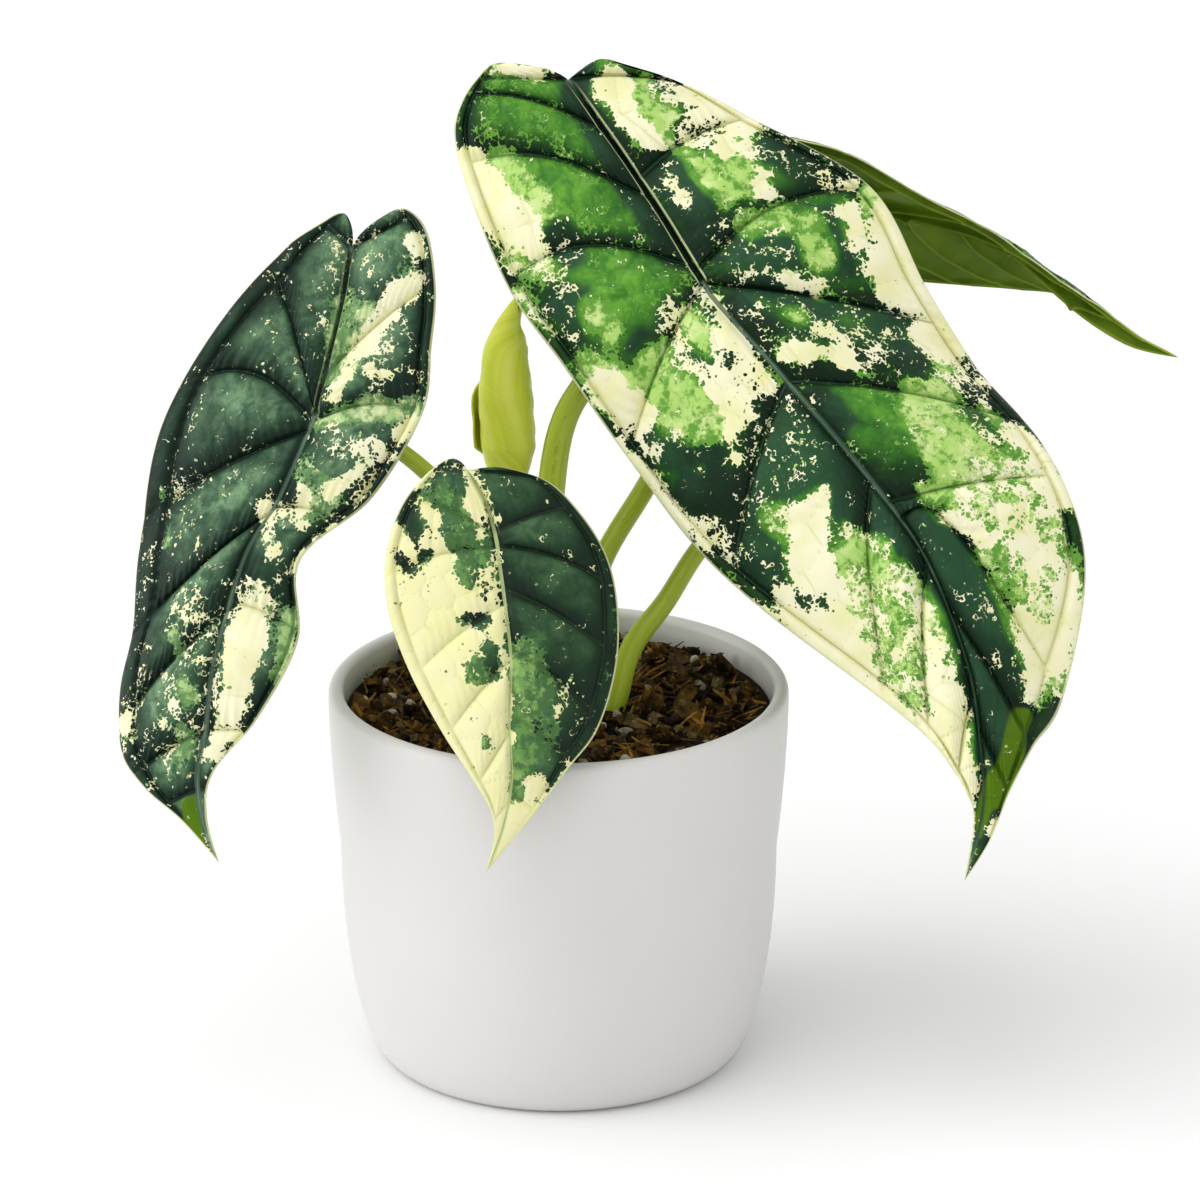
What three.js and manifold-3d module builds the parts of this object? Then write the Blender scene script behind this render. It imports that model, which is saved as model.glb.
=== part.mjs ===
// A potted dragon scale alocasia with variegated leaves: a white ceramic pot filled with
// bark soil, a corm with its roots, and six leaves, each a petiole and a quilted blade.
// Millimetres, +Z up. The origin is the centre of the pot's flat base, +X is to the right
// and -Y is the plant's front, towards which the large leaves face.
import * as THREE from "three";
import { mergeVertices } from "three/addons/utils/BufferGeometryUtils.js";
import Module from "manifold-3d";

const wasm = await Module();
wasm.setup();

// Pot: a base disc, a rounded lower wall and a gently flaring upper wall. Its profile is
// sampled at these heights, and its lip is rounded through places counted from the rim.
const POT = { height: 102, base: 45, belly: 57.4, bellyZ: 58, rim: 60.2, wall: 4.2, floor: 6, sides: 40 };
const POT_PROFILE = {
  outer: [0, 2.2, 8, 18, 32, 45, POT.bellyZ, 80, 98.6],
  lip: [[0.6, 0.8], [1.9, 0], [3.6, 0.8]],
  inner: [97, 80, 50, 28, 14, 8.5],
  flare: 1.8,
  floorFillet: 4,
};

// Soil: a plug with a clearance to the pot, its loose top and the bark chips lying on it.
const SOIL = {
  top: 95, crown: 1.6, radius: 56, clearance: 0.3, facetClearance: 0.15, loose: 0.7,
  sides: 24, heights: [9, 16, 34, 60, 95], rings: [50, 38, 26, 13, 0],
};
const CHIPS = {
  count: 30, seed: 7, reach: 49, length: [7, 15], width: [4, 8], thickness: [1.6, 3], tilt: 0.35, lift: 0.5,
};
const STEM_CLEARANCE = 0.35;
const HOLE = { extra: 0.25, steps: 6, depth: 1 };

// Corm under the soil, with a flat top that the petioles stand on, and its roots.
const CORM = {
  x: -1, top: 79.6, topRadius: 15.5, girth: 17.5, bottom: 46, bottomRadius: 8.75, waist: 15.4, sides: 18,
};
const ROOTS = { count: 7, radius: 1.7, tip: 0.7, sides: 4, steps: 4, reach: 40, depths: [14, 40] };

// Blades: skin thickness, the ribs raised under it, the vein inside the margin and the
// share of a row's length at each column from the midrib out to the margin.
const SKIN = 0.8;
const MIDRIB = { depth: 1.5, reach: 0.08 };
const RIB = { depth: 0.5, reach: 0.3 };
const PUFF_FULL_WIDTH = 22;
const MARGIN_VEIN = 0.9;
const COLUMNS = [0, 0.08, 0.3, 0.55, 0.78, 0.9, 1];
const ROW_BOW = 0.05;
const LOBE_BULGE = 0.14;
const PETIOLE_GAP = 0.35;

// Each blade lies in a plane through its joint (where the petiole meets it) and its tip,
// bulged by arch and dropped by droop on the one side and the other. A station is one pair
// of side veins: where it leaves the midrib, then its two ends on the margin, each as
// distance along the blade from the joint and distance across it. The first one holds the
// two lobe tips.
const BLADES = {
  large: {
    joint: [37.3, 0, 210.8], tip: [103, -64, 72.5], face: [0.02, -0.9, 0.42],
    arch: 0.0013, droop: [0.0028, 0.0028], puff: 3, steps: 4,
    stations: [
      [[-76, 26], [-66, 0]], [[-64, 10], [-70, 37], [-52, -17]], [[-29, 4], [-57, 44], [-36, -29]],
      [[-6, 1], [-21, 46], [-7, -50]], [[0, 0], [5, 41], [22, -53]], [[6, -1], [38, 34], [46, -57]],
      [[32, -9], [73, 24], [72, -63]], [[64, -18], [117, 0], [103, -61]],
      [[88, -23], [130, -6], [133, -42]], [[116, -22], [139, -8], [142, -29]],
      [[136, -17], [146, -9], [150, -19]], [[152, -11], [153, -8], [159, -10]],
    ],
  },
  left: {
    joint: [-62.3, -18, 179.5], tip: [-86, -58, 75], face: [-0.24, -0.88, 0.4],
    arch: 0.0022, droop: [0.0045, 0.0045], puff: 2.5, steps: 3,
    stations: [
      [[-55, 8], [-59, -7]], [[-46, 3], [-45, 18], [-55, -15]], [[-31, 1], [-27, 29], [-40, -22]],
      [[-6, 0], [-3, 39], [-25, -25]], [[0, 0], [16, 43], [-8, -27]], [[20, 3], [41, 42], [16, -20]],
      [[36, 8], [60, 38], [35, -6]], [[62, 10], [77, 37], [55, -10]], [[82, 9], [92, 31], [76, -4]],
      [[94, 9], [100, 22], [92, 5]], [[104, 6], [106, 11], [103, 5]],
    ],
  },
  front: {
    joint: [-15.3, -47, 158.2], tip: [-18, -72, 78], face: [-0.05, -0.9, 0.42],
    arch: 0.0026, droop: [0.005, 0.005], puff: 2, steps: 3,
    stations: [
      [[-20, 12], [-18, 0]], [[-17, 8], [-15, 19], [-15, -12]], [[-9, 3], [-6, 25], [-7, -21]],
      [[0, 0], [6, 28], [4, -28]], [[5, -1], [19, 27], [17, -31]], [[16, -3], [34, 21], [32, -31]],
      [[30, -5], [49, 12], [47, -27]], [[45, -5], [60, 4], [57, -20]], [[60, -6], [68, -1], [67, -13]],
      [[73, -4], [75, -2], [75, -7]],
    ],
  },
  back: {
    joint: [67.4, 56, 214.8], tip: [166.5, 78, 166.3], face: [0.3, 0.75, 0.59],
    arch: 0.0026, droop: [0.0012, -0.003], puff: 1.8, steps: 3,
    stations: [
      [[-34, 20], [-33, -22]], [[-14, 0], [-28, 32], [-20, -34]], [[-5, 0], [-18, 34], [0, -36]],
      [[0, 0], [-7, 33], [18, -33]], [[12, 3], [8, 29], [36, -28]], [[24, 5], [26, 23], [51, -27]],
      [[37, 8], [43, 18], [64, -25]], [[51, 7], [59, 10], [76, -21]], [[70, -1], [76, 2], [87, -16]],
      [[86, -6], [88, -3], [95, -12]], [[101, -7], [102, -5], [103, -9]],
    ],
  },
  hidden: {
    joint: [74, 22, 162], tip: [112, 46, 89], face: [0.62, 0.66, 0.42],
    arch: 0.0026, droop: [0.004, 0.004], puff: 1.8, steps: 3,
    stations: [
      [[-30, 11], [-30, -11]], [[-18, 0], [-25, 21], [-25, -21]], [[-8, 0], [-13, 28], [-13, -28]],
      [[0, 0], [4, 30], [4, -30]], [[8, 0], [21, 29], [21, -29]], [[22, 0], [37, 25], [37, -25]],
      [[38, 0], [52, 19], [52, -19]], [[54, 0], [65, 12], [65, -12]], [[70, 0], [76, 6], [76, -6]],
      [[81, 0], [83, 2], [83, -2]],
    ],
  },
};

// The young leaf is still a scroll: its centre line, radius along it, how far the sheet
// turns and how far apart its turns are.
const YOUNG = {
  line: [[-13.3, 14, 149], [-13.5, 15, 163], [-14.2, 16.5, 178], [-13.6, 17.6, 190], [-10, 18.6, 201]],
  radius: [3.2, 5.8, 5.6, 3.9, 0.7],
  turns: [0.9, 1.35, 1.4, 1.2, 0.9], gap: [0.6, 1.9, 1.9, 1.7, 0.4],
  rows: 12, columns: 17,
};

// Petioles: centre lines from the corm's top to the blade's joint, and radii at both ends.
const FOOT_Z = CORM.top + STEM_CLEARANCE;
const PETIOLES = {
  large: {
    radii: [4.4, 3],
    line: [
      [-3, 6, FOOT_Z], [-3, 7, 97], [-2.5, 8, 144],
      [0.7, 10, 168], [5.4, 11, 178], [20, 13, 195],
    ],
  },
  left: {
    radii: [3, 2],
    line: [
      [-10, -1.5, FOOT_Z], [-12, -2, 97], [-17, -4, 128],
      [-27, -7, 154], [-39, -10, 168], [-53, -11, 177],
    ],
  },
  front: {
    radii: [2.8, 1.9],
    line: [[-1, -8.5, FOOT_Z], [-3, -11, 97], [-6, -19, 124], [-10, -29, 146], [-13.5, -38, 156]],
  },
  back: {
    radii: [3.3, 2.3],
    line: [[5, 6, FOOT_Z], [7, 8, 97], [10, 13, 127], [23, 24, 148], [42, 38, 177], [58, 49, 202]],
  },
  hidden: {
    radii: [3.3, 2.2],
    line: [
      [9, -2.5, FOOT_Z], [14.5, -5.2, 97], [19, 1, 111],
      [28, 7, 122], [37, 12, 135], [54, 15, 153],
    ],
  },
  young: {
    radii: [2.4, 2.6],
    line: [[-10.5, 7.5, FOOT_Z], [-13, 10, 97], [-14, 12, 124], [-13.3, 14, 148.5]],
  },
};
const PETIOLE = { sides: 8, stepsPerPoint: 2 };
const THINNEST_ROLL = 0.15;
const WELD = 1e-4;

const COLOURS = {
  ceramic: "#f1efeb", soil: "#4a3627", corm: "#6b4a2e", petiole: "#a9bf4e", young: "#b7c95a",
  large: "#6f9350", left: "#2c4a30", front: "#b9c48a", back: "#7d8f45", hidden: "#5c8048",
};

const vector = (p) => new THREE.Vector3(...p);
const mix = (a, b, f) => a + (b - a) * f;

// A fixed stream of numbers between 0 and 1, the same on every run.
function randomStream(seed) {
  let state = seed;
  return () => {
    state = (state * 1664525 + 1013904223) % 4294967296;
    return state / 4294967296;
  };
}

// Closes a list of triangles, each three points, into one indexed mesh without slivers.
function closedGeometry(corners) {
  const soup = new THREE.BufferGeometry().setFromPoints(corners);
  const merged = mergeVertices(soup, WELD);
  const index = [];
  for (let i = 0; i < merged.index.count; i += 3) {
    const [a, b, c] = [0, 1, 2].map((k) => merged.index.getX(i + k));
    if (a !== b && b !== c && c !== a) index.push(a, b, c);
  }
  return merged.setIndex(index);
}

function toSolid(geometry) {
  const plain = geometry.clone();
  plain.deleteAttribute("normal");
  plain.deleteAttribute("uv");
  const merged = mergeVertices(plain, WELD);
  return new wasm.Manifold(new wasm.Mesh({
    numProp: 3,
    vertProperties: new Float32Array(merged.attributes.position.array),
    triVerts: new Uint32Array(merged.index.array),
  }));
}

function toGeometry(solid) {
  const { vertProperties, triVerts } = solid.getMesh();
  const geometry = new THREE.BufferGeometry();
  geometry.setAttribute("position", new THREE.BufferAttribute(vertProperties, 3));
  return geometry.setIndex(new THREE.BufferAttribute(triVerts, 1));
}

// Skins a row of rings, each a list of points counter-clockwise about the row's direction,
// and closes both ends with fans.
function skinRings(rings) {
  const corners = [];
  const sides = rings[0].length;
  const next = (j) => (j + 1) % sides;
  for (let i = 0; i + 1 < rings.length; i++) {
    for (let j = 0; j < sides; j++) {
      const [a, b, c, d] = [rings[i][j], rings[i][next(j)], rings[i + 1][next(j)], rings[i + 1][j]];
      corners.push(a, b, c, a, c, d);
    }
  }
  const total = (ring) => ring.reduce((sum, p) => sum.add(p), new THREE.Vector3());
  const middle = (ring) => total(ring).divideScalar(sides);
  const first = rings[0];
  const last = rings[rings.length - 1];
  for (let j = 0; j < sides; j++) {
    corners.push(middle(first), first[next(j)], first[j], middle(last), last[j], last[next(j)]);
  }
  return closedGeometry(corners);
}

// Points of a tapering tube along a line: one ring per step.
function tubeRings(line, radii, sides, steps, swell = 0) {
  const curve = new THREE.CatmullRomCurve3(line.map(vector));
  const { normals, binormals } = curve.computeFrenetFrames(steps, false);
  return Array.from({ length: steps + 1 }, (_, i) => {
    const centre = curve.getPointAt(i / steps);
    const radius = mix(radii[0], radii[1], i / steps) + swell;
    return Array.from({ length: sides }, (_, j) => {
      const angle = (2 * Math.PI * j) / sides;
      return centre.clone()
        .addScaledVector(normals[i], radius * Math.cos(angle))
        .addScaledVector(binormals[i], radius * Math.sin(angle));
    });
  });
}

// The blade's own frame: along it from joint to tip, out of its face, and across it.
function bladeFrame(blade) {
  const origin = vector(blade.joint);
  const along = vector(blade.tip).sub(origin);
  const length = along.length();
  along.normalize();
  const face = vector(blade.face);
  face.addScaledVector(along, -face.dot(along)).normalize();
  const across = new THREE.Vector3().crossVectors(along, face);
  return { origin, along, face, across, length };
}

// Places on the inner edge and the margin of one half, at u = 0 for the lobe tip, u = 1 for
// the bottom of the sinus and then one more for each station, up to the blade's tip.
function halfEdges(blade, side, length) {
  const [lobes, ...veins] = blade.stations;
  const end = side > 0 ? 0 : 1;
  const point = ([s, t]) => new THREE.Vector2(s, t);
  const tip = new THREE.Vector2(length, 0);
  const lobe = point(lobes[end]);
  const midrib = new THREE.SplineCurve([...veins.map((vein) => point(vein[0])), tip]);
  const margin = new THREE.SplineCurve([lobe, ...veins.map((vein) => point(vein[1 + end])), tip]);
  const sinus = midrib.points[0];
  const sinusEdge = (u) => {
    const bulge = LOBE_BULGE * lobe.distanceTo(sinus) * Math.sin(Math.PI * u);
    return lobe.clone().lerp(sinus, u).add(new THREE.Vector2(0, -side * bulge));
  };
  return {
    inner: (u) => (u < 1 ? sinusEdge(u) : midrib.getPoint((u - 1) / (midrib.points.length - 1))),
    margin: (u) => margin.getPoint(u / (margin.points.length - 1)),
  };
}

// The blade swells between side veins and is drawn in at them, at the midrib and at the
// vein that runs inside the margin.
function quilting(blade, phase, q, width) {
  const panel = Math.sin(Math.PI * phase) ** 0.7;
  const inside = Math.sin(Math.PI * (Math.min(q, MARGIN_VEIN) / MARGIN_VEIN) ** 0.75) ** 0.6;
  const border = 0.35 * Math.max(0, q - MARGIN_VEIN) / (1 - MARGIN_VEIN);
  return blade.puff * panel * (inside + border) * Math.min(1, width / PUFF_FULL_WIDTH);
}

// The midrib and the side veins stand out under the blade, and fade at the lobes and tip.
function bladeThickness(u, spans, q) {
  const midrib = u >= 1 ? MIDRIB.depth * Math.max(0, 1 - q / MIDRIB.reach) : 0;
  const toVein = Math.min(u % 1, 1 - (u % 1));
  const rib = RIB.depth * (1 - q) * Math.max(0, 1 - toVein / RIB.reach);
  return SKIN + (midrib + rib) * Math.min(1, u, (spans - u) / 2);
}

// Upper and lower points of one half, row by row from the lobe tip to the blade's tip.
function halfRows(blade, side) {
  const frame = bladeFrame(blade);
  const spans = blade.stations.length;
  const { inner, margin } = halfEdges(blade, side, frame.length);
  const droop = blade.droop[side > 0 ? 0 : 1];
  const rows = [];
  for (let i = 0; i <= spans * blade.steps; i++) {
    const u = i / blade.steps;
    const phase = u % 1;
    const from = inner(u);
    const to = margin(u);
    const width = from.distanceTo(to);
    const rise = blade.arch * from.x * (from.x > 0 ? frame.length - from.x : frame.length);
    rows.push(COLUMNS.map((q) => {
      const s = mix(from.x, to.x, q) - ROW_BOW * width * Math.sin(Math.PI * q);
      const t = mix(from.y, to.y, q);
      const reach = Math.hypot(s - from.x, t - from.y);
      const height = rise - droop * reach ** 2 + quilting(blade, phase, q, width);
      const upper = frame.origin.clone().addScaledVector(frame.along, s)
        .addScaledVector(frame.across, t).addScaledVector(frame.face, height);
      const lower = upper.clone().addScaledVector(frame.face, -bladeThickness(u, spans, q));
      return { upper, lower };
    }));
  }
  return rows;
}

function bladeGeometry(blade) {
  const corners = [];
  const last = COLUMNS.length - 1;
  for (const side of [1, -1]) {
    const rows = halfRows(blade, side);
    const push = (a, b, c) => (side > 0 ? corners.push(a, c, b) : corners.push(a, b, c));
    const wall = (a, b) => {
      push(a.upper, a.lower, b.lower);
      push(a.upper, b.lower, b.upper);
    };
    for (let i = 0; i + 1 < rows.length; i++) {
      for (let j = 0; j < last; j++) {
        const [a, b, c, d] = [rows[i][j], rows[i][j + 1], rows[i + 1][j + 1], rows[i + 1][j]];
        push(a.upper, c.upper, b.upper);
        push(a.upper, d.upper, c.upper);
        push(a.lower, b.lower, c.lower);
        push(a.lower, c.lower, d.lower);
      }
      wall(rows[i + 1][last], rows[i][last]);
      if (i < blade.steps) wall(rows[i][0], rows[i + 1][0]);
    }
  }
  return closedGeometry(corners);
}

// A petiole stands level on the corm, and one that carries an open blade stops just under
// it, its end cut parallel to the blade's plane.
function petioleGeometry(name) {
  const { line, radii } = PETIOLES[name];
  const blade = BLADES[name];
  const points = [...line];
  if (blade) points.push(petioleEnd(blade).toArray());
  const steps = points.length * PETIOLE.stepsPerPoint;
  const rings = tubeRings(points, radii, PETIOLE.sides, steps);
  for (const p of rings[0]) p.z = FOOT_Z;
  if (blade) cutParallel(rings, petioleEnd(blade), bladeFrame(blade).face);
  return skinRings(rings);
}

function petioleEnd(blade) {
  const { origin, face } = bladeFrame(blade);
  return origin.clone().addScaledVector(face, -(SKIN + MIDRIB.depth + RIB.depth + PETIOLE_GAP));
}

// Slides the last ring along the tube until it lies in the plane through end across face.
function cutParallel(rings, end, face) {
  const [before, last] = rings.slice(-2);
  const run = new THREE.Vector3().subVectors(last[0], before[0]).normalize();
  for (const p of last) p.addScaledVector(run, end.clone().sub(p).dot(face) / run.dot(face));
}

// A value read from evenly spaced samples along 0 to 1.
function sample(values, v) {
  const place = v * (values.length - 1);
  const i = Math.min(Math.floor(place), values.length - 2);
  return mix(values[i], values[i + 1], place - i);
}

// The young leaf: one sheet wound round its centre line.
function youngGeometry() {
  const curve = new THREE.CatmullRomCurve3(YOUNG.line.map(vector));
  const { normals, binormals } = curve.computeFrenetFrames(YOUNG.rows, false);
  const rows = Array.from({ length: YOUNG.rows + 1 }, (_, i) => {
    const v = i / YOUNG.rows;
    const centre = curve.getPointAt(v);
    return Array.from({ length: YOUNG.columns + 1 }, (_, j) => {
      const turn = sample(YOUNG.turns, v) * (j / YOUNG.columns);
      const radius = sample(YOUNG.radius, v) + sample(YOUNG.gap, v) * turn;
      const direction = new THREE.Vector3()
        .addScaledVector(normals[i], Math.cos(2 * Math.PI * turn))
        .addScaledVector(binormals[i], Math.sin(2 * Math.PI * turn));
      const outer = centre.clone().addScaledVector(direction, radius + SKIN / 2);
      const inner = centre.clone().addScaledVector(direction, Math.max(THINNEST_ROLL, radius - SKIN / 2));
      return { outer, inner };
    });
  });
  const corners = [];
  const wall = (a, b) => corners.push(a.outer, a.inner, b.inner, a.outer, b.inner, b.outer);
  for (let i = 0; i < YOUNG.rows; i++) {
    for (let j = 0; j < YOUNG.columns; j++) {
      const [a, b, c, d] = [rows[i][j], rows[i][j + 1], rows[i + 1][j + 1], rows[i + 1][j]];
      corners.push(a.outer, b.outer, c.outer, a.outer, c.outer, d.outer);
      corners.push(a.inner, c.inner, b.inner, a.inner, d.inner, c.inner);
    }
    wall(rows[i + 1][0], rows[i][0]);
    wall(rows[i][YOUNG.columns], rows[i + 1][YOUNG.columns]);
  }
  for (let j = 0; j < YOUNG.columns; j++) {
    wall(rows[0][j], rows[0][j + 1]);
    wall(rows[YOUNG.rows][j + 1], rows[YOUNG.rows][j]);
  }
  return closedGeometry(corners);
}

// The pot's outer radius at a height: an elliptical lower wall, then a slight flare.
function potRadius(z) {
  if (z < POT.bellyZ) {
    const rise = Math.acos(1 - z / POT.bellyZ);
    return POT.base + (POT.belly - POT.base) * Math.sin(rise);
  }
  const left = 1 - (z - POT.bellyZ) / (POT.height - POT.bellyZ);
  return POT.belly + (POT.rim - POT.belly) * (1 - left ** POT_PROFILE.flare);
}

// The inner wall follows the outer one a wall's thickness further in.
function innerRadius(z) {
  return potRadius(Math.max(0, z - 1)) - POT.wall;
}

// Turns a profile of radius and height pairs about the upright axis.
function turned(profile, sides) {
  const points = profile.map(([r, z]) => new THREE.Vector2(r, z));
  return new THREE.LatheGeometry(points, sides).rotateX(Math.PI / 2);
}

// The flat disc inside the pot, where its floor meets the fillet to the wall.
function floorRadius() {
  return innerRadius(POT_PROFILE.inner.at(-1)) - POT_PROFILE.floorFillet;
}

function potGeometry() {
  const outer = POT_PROFILE.outer.map((z) => [potRadius(z), z]);
  const lip = POT_PROFILE.lip.map(([inward, down]) => [POT.rim - inward, POT.height - down]);
  const inner = POT_PROFILE.inner.map((z) => [innerRadius(z), z]);
  const floor = [[floorRadius(), POT.floor], [0, POT.floor]];
  return turned([[0, 0], ...outer, ...lip, ...inner, ...floor], POT.sides);
}

// Height of the soil's crowned top at a distance from the pot's axis.
function soilHeight(reach) {
  return SOIL.top + SOIL.crown * (1 - reach / SOIL.radius);
}

function chipSolid(random) {
  const between = ([low, high]) => mix(low, high, random());
  const sizes = [CHIPS.length, CHIPS.width, CHIPS.thickness].map(between);
  const tilts = [0, 1].map(() => between([-CHIPS.tilt, CHIPS.tilt]));
  const chip = new THREE.BoxGeometry(...sizes);
  chip.rotateX(tilts[0]).rotateY(tilts[1]).rotateZ(Math.PI * random());
  const angle = 2 * Math.PI * random();
  const reach = CHIPS.reach * Math.sqrt(random());
  chip.translate(reach * Math.cos(angle), reach * Math.sin(angle), soilHeight(reach) + CHIPS.lift);
  return toSolid(chip);
}

// The bare plug of soil: a lathe whose top is crowned and roughened.
function soilPlug() {
  const bottom = POT.floor + SOIL.clearance;
  const base = [[0, bottom], [floorRadius() - SOIL.clearance, bottom]];
  const side = SOIL.heights.map((z) => [innerRadius(z) - SOIL.clearance - SOIL.facetClearance, z]);
  const top = SOIL.rings.map((r) => [r, soilHeight(r)]);
  const plug = turned([...base, ...side, ...top], SOIL.sides);
  const place = plug.attributes.position;
  for (let i = 0; i < place.count; i++) {
    const [x, y, z] = [place.getX(i), place.getY(i), place.getZ(i)];
    const wave = Math.sin(0.41 * x + 1.3 * Math.sin(0.23 * y)) * Math.cos(0.37 * y);
    place.setZ(i, z > SOIL.top ? z + SOIL.loose * wave : z);
  }
  return toSolid(plug);
}

// The corm with its roots. Swell widens both, to cut their hollow in the soil.
function cormSolid(swell) {
  const middle = (CORM.top + CORM.bottom) / 2;
  const body = turned([
    [0, CORM.bottom - swell], [CORM.bottomRadius, CORM.bottom + 2 - swell], [CORM.waist + swell, middle - 6],
    [CORM.girth + swell, middle + 6], [CORM.topRadius + swell, CORM.top + swell], [0, CORM.top + swell],
  ], CORM.sides);
  let solid = toSolid(body.translate(CORM.x, 0, 0));
  for (let k = 0; k < ROOTS.count; k++) {
    const angle = (2 * Math.PI * k) / ROOTS.count;
    const [cx, cy] = [Math.cos(angle), Math.sin(angle)];
    const fall = mix(...ROOTS.depths, (k * 0.37) % 1);
    const reach = mix(0.6, 1, (k * 0.61) % 1) * ROOTS.reach;
    const knee = 0.85 * reach;
    const line = [
      [8 * cx + CORM.x, 8 * cy, middle], [22 * cx, 22 * cy, middle - 4],
      [knee * cx - 4 * cy, knee * cy + 4 * cx, mix(middle, fall, 0.5)], [reach * cx, reach * cy, fall],
    ];
    const rings = tubeRings(line, [ROOTS.radius, ROOTS.tip], ROOTS.sides, ROOTS.steps, swell);
    solid = solid.add(toSolid(skinRings(rings)));
  }
  return solid;
}

// Soil with its chips, cut by the hollow round the corm and by a plain hole per petiole.
function soilGeometry() {
  const random = randomStream(CHIPS.seed);
  let soil = soilPlug();
  for (let k = 0; k < CHIPS.count; k++) soil = soil.add(chipSolid(random));
  soil = soil.subtract(cormSolid(STEM_CLEARANCE));
  for (const { line, radii } of Object.values(PETIOLES)) {
    const [[x, y, z], ...above] = line;
    const hole = [[x, y, z - HOLE.depth], ...above.slice(0, 2)];
    const swell = STEM_CLEARANCE + HOLE.extra;
    const rings = tubeRings(hole, [radii[0], radii[0]], PETIOLE.sides + 1, HOLE.steps, swell);
    soil = soil.subtract(toSolid(skinRings(rings)));
  }
  const bodies = soil.decompose();
  return toGeometry(bodies.sort((a, b) => b.volume() - a.volume())[0]);
}

function addMesh(group, name, geometry, colour, roughness) {
  const material = new THREE.MeshStandardMaterial({ color: colour, roughness, metalness: 0 });
  const mesh = new THREE.Mesh(geometry, material);
  mesh.name = name;
  group.add(mesh);
}

const plant = new THREE.Group();
addMesh(plant, "pot", potGeometry(), COLOURS.ceramic, 0.35);
addMesh(plant, "soil", soilGeometry(), COLOURS.soil, 0.95);
addMesh(plant, "corm", toGeometry(cormSolid(0)), COLOURS.corm, 0.9);
for (const name of Object.keys(PETIOLES)) {
  addMesh(plant, `petiole_${name}`, petioleGeometry(name), COLOURS.petiole, 0.45);
}
for (const [name, blade] of Object.entries(BLADES)) {
  addMesh(plant, `blade_${name}`, bladeGeometry(blade), COLOURS[name], 0.5);
}
addMesh(plant, "blade_young", youngGeometry(), COLOURS.young, 0.45);

export default plant;
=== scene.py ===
# %% [markdown]
# A young dragon scale alocasia in a white ceramic pot. Six stalks rise from bark soil: five
# carry open blades, quilted between sunken veins and marbled green and cream, and the sixth
# holds a leaf that is still rolled. The frame holds every piece as a plain solid. This script
# dresses each of them, in metres, in the same place.

# %% The frame and its box
import math
import bpy
import numpy as np
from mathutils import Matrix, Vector


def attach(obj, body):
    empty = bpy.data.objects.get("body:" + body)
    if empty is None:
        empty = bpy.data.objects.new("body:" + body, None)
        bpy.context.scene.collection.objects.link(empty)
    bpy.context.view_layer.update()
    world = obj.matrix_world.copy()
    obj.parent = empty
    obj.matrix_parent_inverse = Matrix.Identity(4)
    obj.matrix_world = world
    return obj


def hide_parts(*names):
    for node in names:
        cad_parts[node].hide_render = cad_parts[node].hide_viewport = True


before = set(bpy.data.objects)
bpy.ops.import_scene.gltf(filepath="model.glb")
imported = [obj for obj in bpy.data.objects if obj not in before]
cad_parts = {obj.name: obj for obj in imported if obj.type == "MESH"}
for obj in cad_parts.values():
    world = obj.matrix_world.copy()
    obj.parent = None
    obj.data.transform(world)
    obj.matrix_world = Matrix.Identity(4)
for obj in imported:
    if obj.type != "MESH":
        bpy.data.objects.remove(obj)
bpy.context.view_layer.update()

from types import SimpleNamespace

MM = 0.001

# %% [markdown]
# The plant is seen from a little above and from far away, so a long lens stands well back.
# The camera looks at a point just above the pot's rim.

# %% The camera
CAMERA_DISTANCE = 1.6
CAMERA_ELEVATION = math.radians(20.05)
CAMERA_AIM = Vector((0.0108, 0, 0.1248))
CAMERA_LENS = 184.8

bpy.ops.object.select_all(action="DESELECT")
towards = Vector((0, -math.cos(CAMERA_ELEVATION), math.sin(CAMERA_ELEVATION)))
bpy.ops.object.camera_add(location=CAMERA_AIM + towards * CAMERA_DISTANCE)
camera = bpy.context.object
camera.rotation_euler = (-towards).to_track_quat("-Z", "Y").to_euler()
camera.data.lens = CAMERA_LENS
camera.data.sensor_width = 36
camera.data.clip_start = 0.05
bpy.context.scene.camera = camera
print("camera at", [round(x, 3) for x in camera.location])

# %% [markdown]
# Leaves, stalks and the rolled leaf are thin sheets with a clear length and width. A grid
# primitive has just that order of corners, so each sheet starts as one, and its corners are
# laid on the leaf's own surface. Sheets that share an edge are joined and welded, so that
# the skin is closed, and the normals are then turned outwards.

# %% Helpers for meshes
def select_only(*pieces):
    bpy.ops.object.select_all(action="DESELECT")
    for piece in pieces:
        piece.select_set(True)
    bpy.context.view_layer.objects.active = pieces[0]


def laid_grid(name, points, fields, material):
    """A grid primitive with its corners at points[row, column], in mm, and fields on them."""
    rows, columns = points.shape[:2]
    bpy.ops.object.select_all(action="DESELECT")
    bpy.ops.mesh.primitive_grid_add(x_subdivisions=columns - 1, y_subdivisions=rows - 1, size=1)
    sheet = bpy.context.object
    sheet.name = sheet.data.name = name
    sheet.data.vertices.foreach_set("co", (points * MM).reshape(-1))
    for field, values in fields.items():
        layer = sheet.data.attributes.new(field, "FLOAT_VECTOR", "POINT")
        layer.data.foreach_set("vector", np.ascontiguousarray(values, np.float32).reshape(-1))
    sheet.data.materials.append(material)
    return sheet


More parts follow.
